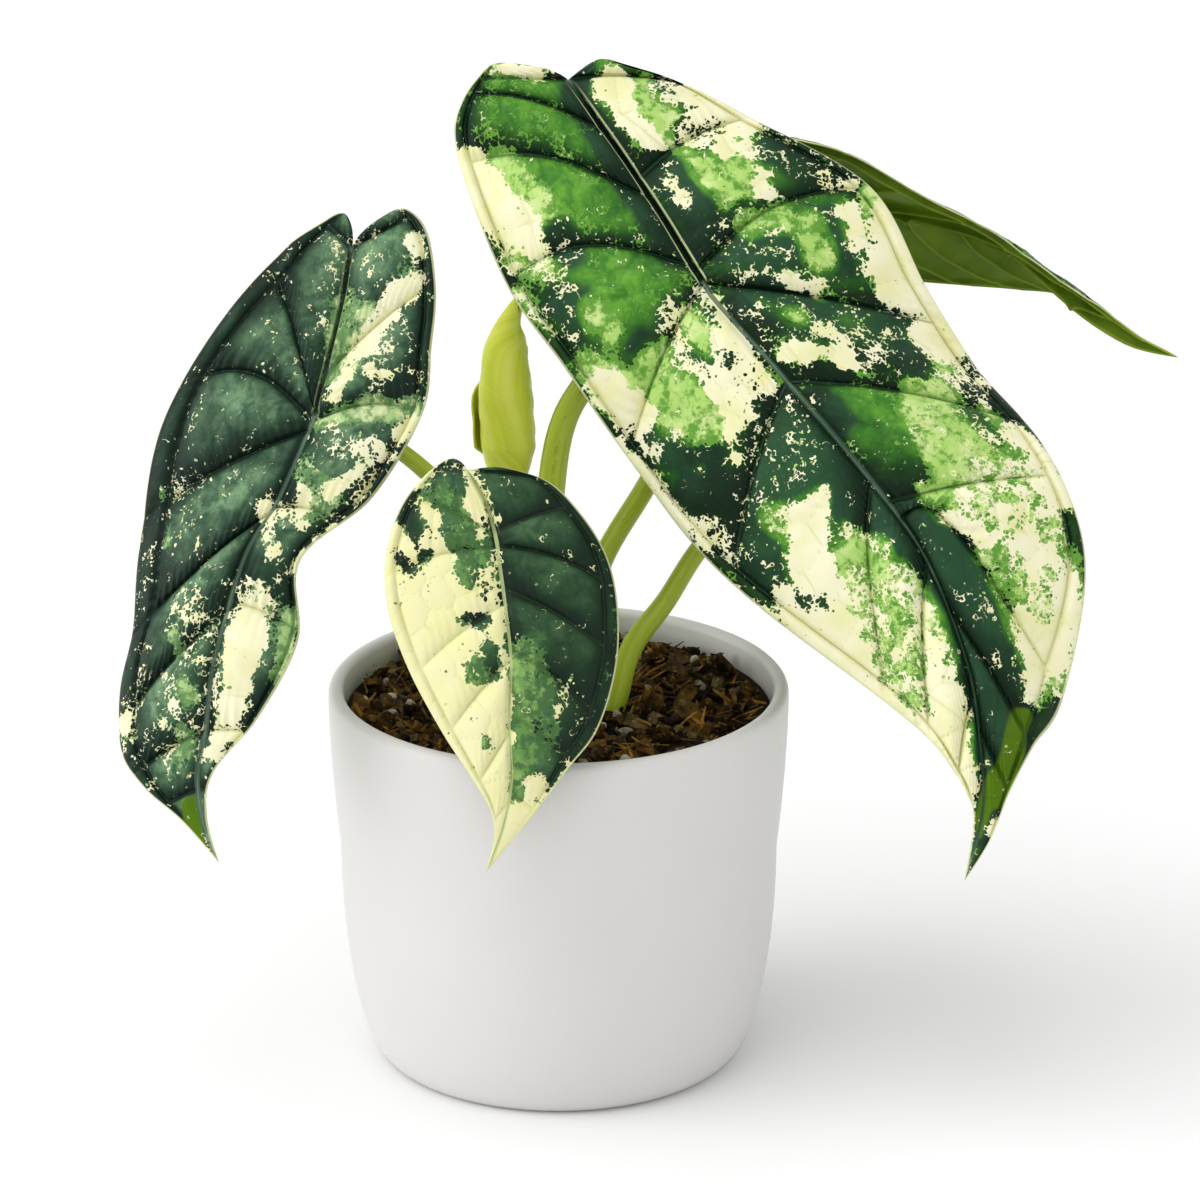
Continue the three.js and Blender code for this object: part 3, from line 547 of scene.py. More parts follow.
# %% Kinds of marking: how much cream, how light a green, how many flecks
KINDS = {
    "dark": (-0.05, 0.0, 0.08), "green": (-0.05, 0.28, 0.04), "flecked": (0.12, 0.06, 1.0),
    "speckled": (0.3, 0.15, 1.0), "sage": (-0.05, 0.7, 0.1), "light": (-0.05, 1.0, 0.0),
    "mottled": (0.47, 0.9, 0.35), "spotted": (0.56, 0.1, 0.5), "cream": (1.05, 0.8, 0.0),
    "lime": (-0.05, -1.0, 0.1),
}
STROKES = {
    "large": ("green", [
        ("cream", -75, 26, -69, 17, 1.6), ("dark", -60, 10, -10, 4, 4),
        ("light", -50, 35, -33, 30, 4), ("cream", -51, 43, -28, 37, 6),
        ("mottled", -25, 41, -19, 34, 4), ("flecked", -27, 29, -20, 28, 4),
        ("mottled", -17, 44, -4, 40, 1.6), ("flecked", -10, 34, 0, 31, 6),
        ("light", -4, 29, 2, 27, 3.4), ("light", 2, 27, 15, 19, 1.8), ("dark", 8, 22, 12, 16, 4),
        ("spotted", 4, 12, 12, 11, 4), ("cream", 8, 3, 44, -3, 6), ("cream", 30, 5, 45, 16, 7),
        ("light", 17, 19, 33, 18, 8), ("light", 8, 7, 22, 9, 3), ("spotted", 15, 12, 23, 8, 3),
        ("spotted", 21, 3, 31, 0, 3.4), ("speckled", 4, 4, 8, 2, 2), ("light", 8, 35, 17, 28, 4),
        ("cream", 14, 34, 25, 28, 4.5), ("spotted", 25, 33, 34, 25, 3.6),
        ("dark", 38, 25, 42, 14, 3.5), ("cream", 32, 38, 58, 27, 4), ("dark", 48, 23, 52, 13, 6),
        ("spotted", 59, 25, 68, 18, 4.5), ("flecked", 44, 1, 66, 3, 8),
        ("flecked", 40, -6, 66, -9, 7), ("flecked", 60, 13, 74, 14, 6.5),
        ("mottled", 62, 8, 70, 4, 3), ("cream", 70, -3, 90, 6, 9), ("cream", 90, 8, 128, -2, 10),
        ("spotted", 81, 13, 87, 5, 3.2), ("spotted", 75, 24, 87, 17, 1.5),
        ("cream", 104, -10, 150, -11, 8), ("speckled", 68, -6, 74, -4, 2.5),
        ("dark", 66, -12, 84, -19, 6), ("mottled", 82, -8, 116, -7, 7.5),
        ("light", 78, -6, 84, -10, 3), ("mottled", 90, -14, 106, -15, 5),
        ("cream", 96, 7, 152, -9, 3), ("cream", 118, -15, 150, -13, 4),
        ("dark", -68, 7, -60, 4, 4), ("cream", -58, 0, -40, -5, 5),
        ("light", -52, -8, -40, -11, 5), ("spotted", -53, -12, -43, -17, 4),
        ("cream", -48, -20, -34, -28, 4), ("light", -43, -9, -38, -11, 4),
        ("spotted", -37, -14, -27, -22, 6), ("light", -31, -9, -24, -13, 4),
        ("cream", -31, -25, -13, -19, 6), ("light", -24, -20, -16, -16, 4),
        ("dark", -32, -3, -8, -7, 5), ("spotted", -30, -3, -20, -4, 2),
        ("flecked", -26, -31, -15, -40, 6), ("spotted", -13, -43, -8, -48, 4),
        ("flecked", -6, -16, 4, -38, 10), ("light", -10, -17, -8, -26, 3.4),
        ("light", -4, -30, 6, -30, 3.6), ("light", -5, -49, -2, -47, 3),
        ("cream", -3, -42, 4, -41, 2.4), ("spotted", 3, -9, 12, -26, 3),
        ("cream", 9, -20, 13, -26, 2.5), ("cream", 3, -51, 40, -56, 6),
        ("cream", 12, -45, 32, -46, 5.5), ("dark", 10, -9, 34, -38, 7),
        ("flecked", 22, -12, 30, -40, 7), ("speckled", 11, -11, 18, -19, 2.2),
        ("speckled", 23, -29, 27, -31, 2.4), ("light", 17, -17, 18, -18, 1.7),
        ("spotted", 24, -22, 28, -29, 3), ("cream", 25, -12, 34, -26, 3),
        ("spotted", 32, -28, 38, -38, 3), ("dark", 38, -40, 42, -44, 4),
        ("cream", 34, -47, 46, -51, 3), ("light", 43, -48, 50, -51, 2),
        ("cream", 46, -46, 50, -48, 2.5), ("spotted", 50, -49, 56, -53, 3),
        ("spotted", 44, -55, 56, -58, 2.5), ("dark", 56, -59, 70, -63, 3.5),
        ("green", 38, -17, 60, -33, 8), ("dark", 42, -14, 60, -20, 5),
        ("green", 56, -21, 67, -28, 6), ("light", 52, -40, 74, -44, 8),
        ("light", 62, -50, 72, -50, 6), ("light", 60, -36, 74, -37, 4),
        ("light", 70, -25, 77, -42, 2.5), ("speckled", 56, -48, 67, -53, 2.6),
        ("cream", 66, -57, 72, -60, 2.5), ("mottled", 84, -46, 118, -43, 14),
        ("mottled", 78, -52, 90, -54, 6), ("cream", 75, -24, 86, -36, 2.6),
        ("dark", 72, -21, 95, -28, 6), ("dark", 88, -28, 128, -28, 7),
        ("dark", 120, -24, 148, -17, 5.5), ("flecked", 98, -33, 124, -32, 3),
        ("sage", 95, -40, 113, -38, 3), ("cream", 93, -46, 98, -51, 3),
        ("cream", 110, -40, 119, -38, 2.6), ("cream", 108, -54, 125, -43, 3),
        ("cream", 120, -41, 131, -33, 3), ("cream", 76, -60, 90, -63, 3),
        ("green", 92, -62, 99, -61, 2.4), ("lime", 134, -29, 150, -16, 3.4),
        ("lime", 146, -17, 156, -7, 2.6), ("cream", 154, -5, 162, 0, 2.4),
    ]),
    "left": ("dark", [
        ("flecked", -52, 5, -22, 3, 4), ("speckled", -50, 8, -40, 6, 1.2),
        ("flecked", -36, 22, -20, 14, 2.4), ("sage", 22, 37, 27, 36, 2),
        ("sage", 31, 37, 37, 33, 2.2), ("flecked", 24, 30, 40, 22, 6),
        ("flecked", 8, 34, 60, 38, 2), ("flecked", 40, 20, 60, 14, 8),
        ("flecked", -50, -6, -16, -5, 5), ("green", -54, -8, -42, -12, 4),
        ("cream", -51, -13, -48, -15, 2), ("flecked", -38, -18, -10, -25, 5),
        ("sage", -33, 0, -14, -3, 4), ("light", -30, -7, -14, -6, 3),
        ("spotted", -36, -13, -12, -14, 3.4), ("cream", -42, -17, -24, -9, 2.3),
        ("cream", -24, -9, -7, -4, 1.9), ("dark", -36, -20, -33, -19, 2),
        ("light", 0, -3, -6, -14, 2.6), ("light", -6, -14, -8, -24, 3.4),
        ("cream", -5, -26, -1, -24, 2.2), ("spotted", 3, -6, 3, -22, 3),
        ("dark", 8, -24, 16, -21, 3), ("sage", 13, -3, 21, -11, 4.4),
        ("cream", 8, -17, 18, -10, 1.8), ("cream", 18, -4, 26, -4, 1.8),
        ("speckled", 12, -20, 29, -10, 3), ("spotted", 24, 4, 42, -5, 5),
        ("dark", 30, -2, 34, -4, 2.2), ("cream", 33, -8, 42, -8, 2), ("dark", 37, 4, 42, 1, 2.4),
        ("green", 44, -4, 66, -7, 3.6), ("light", 50, -7, 64, -8, 2.2),
        ("cream", 48, 3, 58, 3, 5), ("cream", 58, 2, 84, 6, 5), ("spotted", 44, 6, 52, 8, 2),
        ("spotted", 80, 0, 92, 3, 2.4), ("speckled", 66, 9, 88, 10, 3),
        ("speckled", 54, 19, 88, 15, 7), ("speckled", 66, 31, 84, 30, 3),
        ("light", 60, 22, 64, 20, 1.6), ("cream", 85, 31, 88, 29, 2.4),
        ("light", 72, 16, 75, 14, 2.2), ("sage", 84, 15, 90, 13, 2.6),
        ("flecked", 88, 26, 100, 18, 4), ("lime", 102, 9, 113, 4, 3),
        ("cream", 98, 4, 112, 1, 1.6),
    ]),
    "front": ("cream", [
        ("dark", -19, 13, -13, 12, 4.4), ("flecked", -16, 14, -13, 11, 2.4),
        ("green", -9, 22, -5, 23, 3), ("sage", -9, 15, 3, 5, 5.2), ("dark", -5, 21, 3, 18, 2.6),
        ("cream", -7, 18, -4, 17, 1.5), ("spotted", -4, 15, 2, 18, 2),
        ("cream", -16, 7, -1, 3.4, 0.9), ("dark", -8, 2.6, -4, 2, 0.9), ("dark", 6, 24, 8, 21, 2),
        ("light", 8, 9, 11, 6, 1.8), ("spotted", 10, 3, 14, 1, 2), ("dark", 20, 6, 20.5, 3, 1.7),
        ("dark", 20, 3, 20, 1, 0.9), ("green", 27, 0, 33, 0, 2.2), ("sage", 31, 4, 34, 3, 2.4),
        ("light", 50.5, 1, 51.5, 0.6, 1), ("dark", -18, -1, -6, -10, 6),
        ("dark", -8, -16, 28, -22, 14), ("dark", 2, -5, 24, -9, 5), ("dark", 20, -30, 46, -24, 5),
        ("dark", 26, -17, 42, -22, 4), ("sage", 28, -9, 52, -14, 5),
        ("light", 30, -8, 63, -8, 2.4), ("light", 56, -9, 64, -10, 3),
        ("dark", -14, -2, 3, -3, 2.8), ("green", 44, -25, 60, -13, 3.2),
        ("green", 8, -32, 42, -28, 1.8), ("cream", 62, -12, 80, -3, 2.6),
        ("speckled", 36, -19, 46, -21, 1.8),
    ]),
    "back": ("green", [("light", 10, 10, 60, 0, 4), ("cream", -30, 0, -10, -20, 6)]),
    "hidden": ("green", [
        ("cream", -20, 14, 20, 24, 5), ("mottled", 0, -10, 40, -12, 8), ("dark", 10, 8, 50, 6, 5),
        ("flecked", -20, -14, 0, -20, 6), ("cream", 50, -6, 78, 0, 4),
    ]),
}

# %% [markdown]
# One formula lays the corners of every blade. u counts stations from the lobe's tip to the
# blade's tip, and q goes from the midrib, 0, to the margin, 1. The sheet arches along its
# length, droops to its sides, and swells between side veins. The solids stop there. This
# skin adds what they leave out: veins sunk as creases, small puffs between the finer veins,
# pleats beside the veins, and the cord of the midrib.

# %% Splines and a blade's own frame
def hermite(start, end, start_speed, end_speed, w):
    """A smooth way from start, w = 0, to end, w = 1, with those speeds."""
    cubic = 2 * (start - end) + start_speed + end_speed
    square = 3 * (end - start) - 2 * start_speed - end_speed
    return cubic * w**3 + square * w**2 + start_speed * w + start


def spline(points, place):
    """A smooth line through points; place counts them from 0."""
    points = np.array(points, float)
    last = len(points) - 1
    before = np.clip(np.floor(place).astype(int), 0, last - 1)
    w = (np.clip(place, 0, last) - before)[:, None]
    p0, p1 = points[np.maximum(before - 1, 0)], points[before]
    p2, p3 = points[before + 1], points[np.minimum(before + 2, last)]
    return hermite(p1, p2, (p2 - p0) / 2, (p3 - p1) / 2, w)


def blade_frame(blade):
    """The joint, and the directions along the blade, across it and out of its face."""
    joint = np.array(blade["joint"], float)
    along = np.array(blade["tip"], float) - joint
    length = np.linalg.norm(along)
    along /= length
    out = np.array(blade["face"], float)
    out -= out @ along * along
    out /= np.linalg.norm(out)
    return joint, along, np.cross(along, out), out, length


# %% Rounding a lobe's tip, where its two edges meet in a corner
def walked(line):
    """Distance walked along a line of points."""
    return np.concatenate([[0], np.cumsum(np.linalg.norm(np.diff(line, axis=0), axis=1))])


ROUND_STEP = 0.4
ROUND_COUNT = 40
ROUND_PASSES = 60


def rounding(inner_line, outer_line):
    """How far each edge moves, at even steps from the tip, so that the corner is round."""
    at = np.arange(ROUND_COUNT) * ROUND_STEP
    edges = []
    for line in (inner_line, outer_line):
        run = walked(line)
        edges.append(np.stack([np.interp(at, run, line[:, k]) for k in (0, 1)], 1))
    corner = np.vstack([edges[0][::-1], edges[1][1:]])
    smooth = corner.copy()
    for _ in range(ROUND_PASSES):
        smooth[1:-1] = (smooth[:-2] + 2 * smooth[1:-1] + smooth[2:]) / 4
    shift = smooth - corner
    cut = shift[ROUND_COUNT - 1].copy()
    far = np.abs(np.arange(len(shift)) - ROUND_COUNT + 1) * ROUND_STEP
    shift -= 0.7 * cut * np.exp(-(far / 6) ** 2)[:, None]
    shift *= fade(ROUND_COUNT * ROUND_STEP - far, 0, 6)[:, None]
    return at, shift[:ROUND_COUNT][::-1], shift[ROUND_COUNT - 1:]


# %% The plan of one half of a blade, in its own plane
LOBE_BULGE = 0.14


def free_edge(blade, side, share):
    """The lobe's inner edge, from its tip, 0, to the notch between the lobes, 1."""
    lobe = np.array(blade["stations"][0][0 if side > 0 else 1], float)
    sinus = np.array(blade["stations"][1][0], float)
    line = lobe + (sinus - lobe) * share[:, None]
    line[:, 1] -= side * LOBE_BULGE * np.linalg.norm(lobe - sinus) * np.sin(np.pi * share) ** 0.8
    return line


def outer_edge(blade, side, place):
    end = 0 if side > 0 else 1
    lobes, *stations = blade["stations"]
    tip = (blade_frame(blade)[4], 0)
    return spline([lobes[end]] + [station[1 + end] for station in stations] + [tip], place)


def rounded(blade, side, share, place):
    """Both edges near the lobe's tip, with the corner rounded."""
    dense = np.linspace(0, 1, 120)
    lines = free_edge(blade, side, dense), outer_edge(blade, side, dense * 2)
    at, *shifts = rounding(*lines)
    points = free_edge(blade, side, share), outer_edge(blade, side, place)
    edges = []
    for line, shift, value, edge in zip(lines, shifts, (share, place / 2), points):
        distance = np.interp(value, dense, walked(line), right=1e3)
        move = [np.interp(distance, at, shift[:, k], right=0) for k in (0, 1)]
        edges.append(edge + np.stack(move, 1))
    return edges


def half_plan(blade, side, u, q):
    """Inner edge, s and t of each corner and the width, for rows u and columns q."""
    end = 0 if side > 0 else 1
    mids, margins, bows = np.array(blade["veins"][end], float).T
    tip = (blade_frame(blade)[4], 0)
    midrib = [station[0] for station in blade["stations"][1:]] + [tip]
    free, margin = rounded(blade, side, np.clip(u, 0, 1), np.interp(u, mids, margins))
    inner = np.where((u < 1)[:, None], free, spline(midrib, np.maximum(u - 1, 0)))
    width = np.linalg.norm(margin - inner, axis=1)[:, None]
    bow = np.interp(u, mids, bows)[:, None] * width * np.sin(np.pi * q)
    s = inner[:, :1] + (margin - inner)[:, :1] * q - bow
    t = inner[:, 1:] + (margin - inner)[:, 1:] * q
    return inner, s, t, width


def panels(blade, side, u, q):
    """For each row: which panel between two veins, how far through it, and its size in mm."""
    mids = np.array(blade["veins"][0 if side > 0 else 1], float)[:, 0]
    panel = np.clip(np.searchsorted(mids, u, side="right") - 1, 0, len(mids) - 2)
    phase = ((u - mids[panel]) / (mids[panel + 1] - mids[panel]))[:, None]
    _, s, t, _ = half_plan(blade, side, mids, q)
    gap = np.hypot(np.diff(s, axis=0), np.diff(t, axis=0))[panel]
    return panel, phase, gap, mids


# %% Finer veins: how far each corner is from a border between small puffs
def minor_net(blade, side, u, q, s, t, seed):
    """Millimetres to the nearest fine vein. Puffs crowd each panel between side veins."""
    random = np.random.default_rng(seed)
    strip = blade["strip"][0 if side > 0 else 1]
    panel, _, _, mids = panels(blade, side, u, q)
    net = np.full(s.shape, 5.0)
    for number, (low_u, high_u) in enumerate(zip(mids, mids[1:])):
        ends = np.array([low_u, (low_u + high_u) / 2, high_u])
        _, at_s, at_t, widths = half_plan(blade, side, ends, np.array([[0.6]]))
        gap = np.hypot(at_s[2, 0] - at_s[0, 0], at_t[2, 0] - at_t[0, 0])
        for low, high, size in ((0, strip, blade["cell"]), (strip, 1.0, blade["cell"] * 0.5)):
            across = max(1, round((high - low) * widths[1, 0] / size))
            lanes = max(1, round(gap / size))
            seats = np.array([(lane + 0.5 + random.uniform(-0.2, 0.2),
                               place + 0.5 + random.uniform(-0.22, 0.22))
                              for lane in range(lanes) for place in range(across)])
            here = (panel[:, None] == number) & (q >= low) & (q <= high)
            if len(seats) < 2 or not here.any():
                continue
            seed_u = low_u + (high_u - low_u) * seats[:, 0] / lanes
            seed_q = low + (high - low) * seats[:, 1] / across
            _, seed_s, seed_t, _ = half_plan(blade, side, seed_u, seed_q[:, None])
            apart = np.hypot(s[here][:, None] - seed_s[:, 0], t[here][:, None] - seed_t[:, 0])
            apart.sort(axis=1)
            net[here] = (apart[:, 1] - apart[:, 0]) / 2
    return net


# %% Where each corner lies among the veins
def measures(blade, side, u, q, seed):
    """What the skin of one half is worked out from, as one value or distance a corner."""
    strip = blade["strip"][0 if side > 0 else 1]
    inner, s, t, width = half_plan(blade, side, u, q)
    panel, phase, gap, mids = panels(blade, side, u, q)
    row = u[:, None]
    joint_u = 1 + [station[0] for station in blade["stations"][1:]].index((0, 0))
    ahead = np.where((panel < len(mids) - 2)[:, None], (1 - phase) * gap, 9)
    behind = np.where((panel > 0)[:, None], phase * gap, 9)
    in_strip = fade(q, strip - 0.01, strip + 0.02)
    rib = np.minimum(ahead, behind) + 6 * in_strip
    rib = np.minimum(rib, np.abs(q - strip) * width * 1.2 + 8 * fade(8 - width, 0, 4))
    return SimpleNamespace(
        s=s, t=t, q=q, row=row, inner=inner, width=width, strip=strip, phase=phase, gap=gap,
        ahead=ahead, behind=behind, in_strip=in_strip, rib=rib, to_mid=q * width,
        to_edge=(1 - q) * width, minor=minor_net(blade, side, u, q, s, t, seed),
        border=0.35 * np.sin(np.pi * np.clip((q - strip) / (1 - strip), 0, 1)) ** 0.7,
        free=fade(row, 0.4, 1.0), open_mid=fade(row, joint_u - 0.4, joint_u + 0.1),
        fused=fade(row, 1.0, 1.4) * (1 - fade(row, joint_u - 0.35, joint_u)))


# %% Height of the sheet, and the relief on it
def swollen(blade, side, at):
    """The smooth sheet: arched along, drooping to its side and swollen between side veins."""
    length = blade_frame(blade)[4]
    from_s, from_t = at.inner[:, :1], at.inner[:, 1:]
    rise = blade["arch"] * from_s * np.where(from_s > 0, length - from_s, length)
    reach = np.hypot(at.s - from_s, at.t - from_t)
    inside = np.sin(np.pi * np.minimum(1, at.q / at.strip) ** 0.75) ** 0.6
    crown = np.sin(np.pi * at.phase) ** 0.7 * (inside + at.border)
    room = np.minimum(1, at.width / 22) * np.minimum(1, at.gap / 14)
    return rise - blade["droop"][0 if side > 0 else 1] * reach**2 + blade["puff"] * crown * room


def waves(along, length, wobble, at, size, seed):
    """Waves of that length in mm, bent a little by a ripple of that size."""
    return np.sin(along * 2 * np.pi / length + wobble * ripple(at.s, at.t, size, seed))


def creased(blade, at, seed):
    """Sunken veins, small puffs, pleats beside the veins, a waved hem and the midrib."""
    to_mid, from_strip = at.to_mid, np.abs(at.q - at.strip) * at.width
    off_mid = 1 - np.exp(-to_mid / 1.5)
    relief = -blade["vein_depth"] * np.exp(-(at.rib / 0.7) ** 2) * off_mid
    off_lines = (1 - np.exp(-at.minor / 1.5)) * off_mid * (1 - np.exp(-at.rib / 2))
    relief += blade["small_puff"] * off_lines
    near_vein = blade["pleat"] * (0.6 * np.exp(-at.ahead / 4) + 0.12 * np.exp(-at.behind / 3))
    near_vein = near_vein * (1 - np.exp(-at.rib / 0.8)) * off_mid * (1 - at.in_strip)
    relief += waves(to_mid, 2.5, 2.5, at, 14, seed + 1) * near_vein
    beside_mid = np.exp(-np.abs(to_mid - 3.5) / 2.5) * off_mid * at.free
    relief += 0.2 * waves(at.phase * at.gap, 2.6, 2, at, 12, seed + 2) * beside_mid
    steps = np.hypot(*[np.diff(x[:, -1], prepend=x[0, -1]) for x in (at.s, at.t)])
    hem = waves(np.cumsum(steps)[:, None], 3.4, 2, at, 15, seed + 3)
    by_strip = np.exp(-from_strip / 3) * fade(from_strip, 0, 1)
    relief += 0.32 * blade["pleat"] * hem * by_strip * fade(at.width * (1 - at.strip), 2, 5)
    relief += 0.3 * ripple(at.s, at.t, 24, 5) * off_mid
    fold = 0.4 * np.exp(-((to_mid - 1.2) / 0.5) ** 2) - blade["fold"] * np.exp(-(to_mid / 0.8) ** 2)
    relief += at.free * at.fused * fold
    slim = blade["slim"]
    ridge = np.exp(-(to_mid * slim / 0.9) ** 2) - 1.5 * np.exp(-(to_mid * slim / 2.3) ** 2)
    relief += at.free * at.open_mid * ridge / slim
    return relief * fade(at.width, 2, 14) * fade(at.to_edge, 0, 1.5)


# %% The skin of one half of a blade
SKIN = 0.75
ROUNDING = 0.8
RIB_CORD = 1.4
JOINT_CORD = 1.8


def half_skin(blade, side, u, q, seed):
    """Upper and lower corners of one half, and the fields that its materials read."""
    at = measures(blade, side, u, q, seed)
    height = swollen(blade, side, at) + creased(blade, at, seed)
    cord = RIB_CORD * np.exp(-(at.to_mid / 1.7) ** 2) * fade(at.row, 1, 2)
    cord = cord + 0.5 * (1 - q) * np.exp(-(at.rib / 0.9) ** 2)
    cord = cord + JOINT_CORD * np.exp(-((at.s**2 + at.t**2) / 4.5**2))
    ends = np.minimum(1, np.minimum(at.row, (len(blade["stations"]) - at.row) / 2))
    from_inner = at.to_mid + np.maximum(0, at.row - 1) * 12
    near = np.clip(np.minimum(at.to_edge, from_inner) / ROUNDING, 0, 1)
    roundness = np.sqrt(1 - (1 - near) ** 2)
    upper = height - SKIN / 2 * (1 - roundness)
    lower = height - SKIN / 2 * (1 + roundness) - cord * ends * roundness * fade(at.to_edge, 0, 3)

    joint, along, across, out, _ = blade_frame(blade)
    plane = joint + at.s[..., None] * along + at.t[..., None] * across
    points = [plane + h[..., None] * out for h in (upper, lower)]
    # The puff crowns, where the face is painted lighter: painted light.
    crown_light = np.sin(np.pi * at.phase**0.5) ** 0.7
    crown_light = crown_light * np.sin(np.pi * np.minimum(1, q / at.strip)) ** 0.5
    crown_light = crown_light + 1.2 * at.border * np.sin(np.pi * at.phase) ** 0.3
    fields = {
        "veins": (at.rib, at.to_mid + 30 * np.maximum(0, 1 - at.row), at.to_edge),
        "net": (at.minor, crown_light, at.fused),
    }
    fields = {name: np.stack(np.broadcast_arrays(*three), -1) for name, three in fields.items()}
    fields["paint"] = paint(*blade["strokes"], at.s, at.t)
    return points, fields


# %% Brushing the strokes on
BRUSH_SOFTNESS = 2.2


def paint(base, strokes, s, t):
    marks = np.empty(s.shape + (3,))
    marks[...] = KINDS[base]
    wobble = 0.8 * ripple(s, t, 9, 21)
    for kind, s0, t0, s1, t1, radius in strokes:
        run = max((s1 - s0) ** 2 + (t1 - t0) ** 2, 1e-6)
        share = np.clip(((s - s0) * (s1 - s0) + (t - t0) * (t1 - t0)) / run, 0, 1)
        apart = np.hypot(s - s0 - share * (s1 - s0), t - t0 - share * (t1 - t0))
        cover = fade(radius + wobble * min(1, radius / 4) - apart, -BRUSH_SOFTNESS, BRUSH_SOFTNESS)
        marks += cover[..., None] * (np.array(KINDS[kind]) - marks)
    return marks


# %% [markdown]
# Rows crowd towards the side veins and columns towards the midrib and the margin, where
# the surface turns sharply. The underside needs fewer columns, but it has the same rows,
# so both skins meet corner by corner at the margin.

# %% Building a blade
def crowded(count, pull=0.6):
    """Places from 0 to 1, closer together near both ends."""
    even = np.linspace(0, 1, count + 1)
    return (1 - pull) * even + pull * (1 - np.cos(np.pi * even)) / 2


def rows_of(blade):
    """Row places: every vein of either half is a row, with others between them."""
    places = sorted({vein[0] for half in blade["veins"] for vein in half})
    rows = []
    for low, high in zip(places, places[1:]):
        pair = np.array([low, high], float)
        spans = [half_plan(blade, side, pair, np.array([[0.0, 0.7, 1.0]])) for side in (1, -1)]
        longest = max(np.hypot(np.diff(s, axis=0), np.diff(t, axis=0)).max()
                      for _, s, t, _ in spans)
        count = max(3, round(longest / blade["row_step"]))
        rows.append(low + (high - low) * crowded(count)[:-1])
    return np.concatenate(rows + [[places[-1]]])


def columns(strip, count):
    main = strip * crowded(count, 0.35)
    hem = strip + (1 - strip) * np.array([0.12, 0.28, 0.46, 0.63, 0.78, 0.88, 0.94, 0.98, 1])
    return np.concatenate([main, hem])[None, :]


def build_blade(name, face_material, under_material, seed):
    blade = BLADES[name]
    u = rows_of(blade)
    sheets = []
    for side, strip in zip((1, -1), blade["strip"]):
        for layer, count in ((0, blade["columns"]), (1, blade["columns"] // 2)):
            points, fields = half_skin(blade, side, u, columns(strip, count), seed)
            material = (face_material, under_material)[layer]
            sheets.append(laid_grid(f"half_{side}_{layer}", points[layer], fields, material))
    piece = welded(f"leaf_{name}", sheets)
    stands_for(piece, "blade", f"blade_{name}")
    return piece


# %% [markdown]
# The big leaf has the brightest green. The left one is blackish with a painted grey sheen on
# its puffs, the small front one is the palest. The two leaves behind show mostly their backs.

# %% Leaf materials
# The crown setting lays Bright, a painted light, on every puff crown; 0 keeps it to light tissue.
def face_material(name, fold=1.0, crown_light=0.0, thread=0.45, slim=1.0, **codes):
    inputs = {label: colour(code) for label, code in {**GREENS, **codes}.items()}
    inputs.update(Fold=fold, Glow=crown_light, Thread=thread, Slim=slim, Gloss=0.36)
    return new_material(name, face, inputs, 0.5, Specular_IOR_Level=0.12)


def under_material(name, olive, bright, vein, pale, marbled, veined):
    inputs = {"Olive": colour(olive), "Bright": colour(bright), "Vein": colour(vein),
              "Pale": colour(pale), "Marbled": marbled, "Veined": veined}
    return new_material(name, under, inputs, 0.5, Specular_IOR_Level=0.04)


looks = {
    "large": face_material("large leaf face"),
    # The left leaf's Bright is a grey-green painted sheen, laid on every puff crown.
    "left": face_material("left leaf face", fold=0.4, crown_light=1.0, thread=0.25, slim=1.2,
                          Deep="#12241a", Teal="#30503a", Green="#34583d", Bright="#789a72",
                          Sage="#648a54", Light="#a0c17c", Pale="#cbd8a2", Rib="#4a6353"),
    "front": face_material("front leaf face", fold=0.12, crown_light=0.6, thread=0.03, slim=1.8,
                           Deep="#13261a", Teal="#28462c", Green="#2e502f", Bright="#587c52",
                           Sage="#476c3d", Light="#648f4b", Pale="#8db063", Cream="#e2deae",
                           Yellow="#e0df9f", Rib="#b9c588"),
    "back": face_material("back leaf face"),
}
looks["hidden"] = looks["back"]
olive_back = under_material("olive leaf back", "#385008", "#6a871c", "#93a838", "#8a9a4c",
                            marbled=0.0, veined=0.5)
marbled_back = under_material("marbled leaf back", "#46652a", "#7a9648", "#9fb257", "#cfd394",
                              marbled=0.8, veined=0.7)

# %% The five open blades
DETAIL = {
    "large": dict(row_step=1.3, columns=76, cell=10, small_puff=0.5, fold=1.7, vein_depth=1.1,
                  pleat=1, slim=1),
    "left": dict(row_step=1.3, columns=64, cell=11, small_puff=0.7, fold=1.2, vein_depth=1.0,
                 pleat=1.3, slim=1.2),
    "front": dict(row_step=1.2, columns=52, cell=8, small_puff=0.5, fold=0.6, vein_depth=0.4,
                  pleat=0.4, slim=1.8),
    "back": dict(row_step=2.2, columns=48, cell=9, small_puff=0.4, fold=1.0, vein_depth=0.7,
                 pleat=0.5, slim=1),
    "hidden": dict(row_step=2.5, columns=40, cell=9, small_puff=0.4, fold=1.0, vein_depth=0.8,
                   pleat=0.5, slim=1),
}
for seed, name in enumerate(BLADES):
    BLADES[name].update(DETAIL[name], strokes=STROKES[name])
    build_blade(name, looks[name], olive_back if name == "back" else marbled_back, 40 + 7 * seed)

# %% [markdown]
# Stalks are lime green, smooth and a little flattened, with a shallow groove and darker
# stripes along them. Each follows the line of its solid in the frame. A grid is rolled round
# that line. Its top runs into the cord under the blade, its foot into the soil.

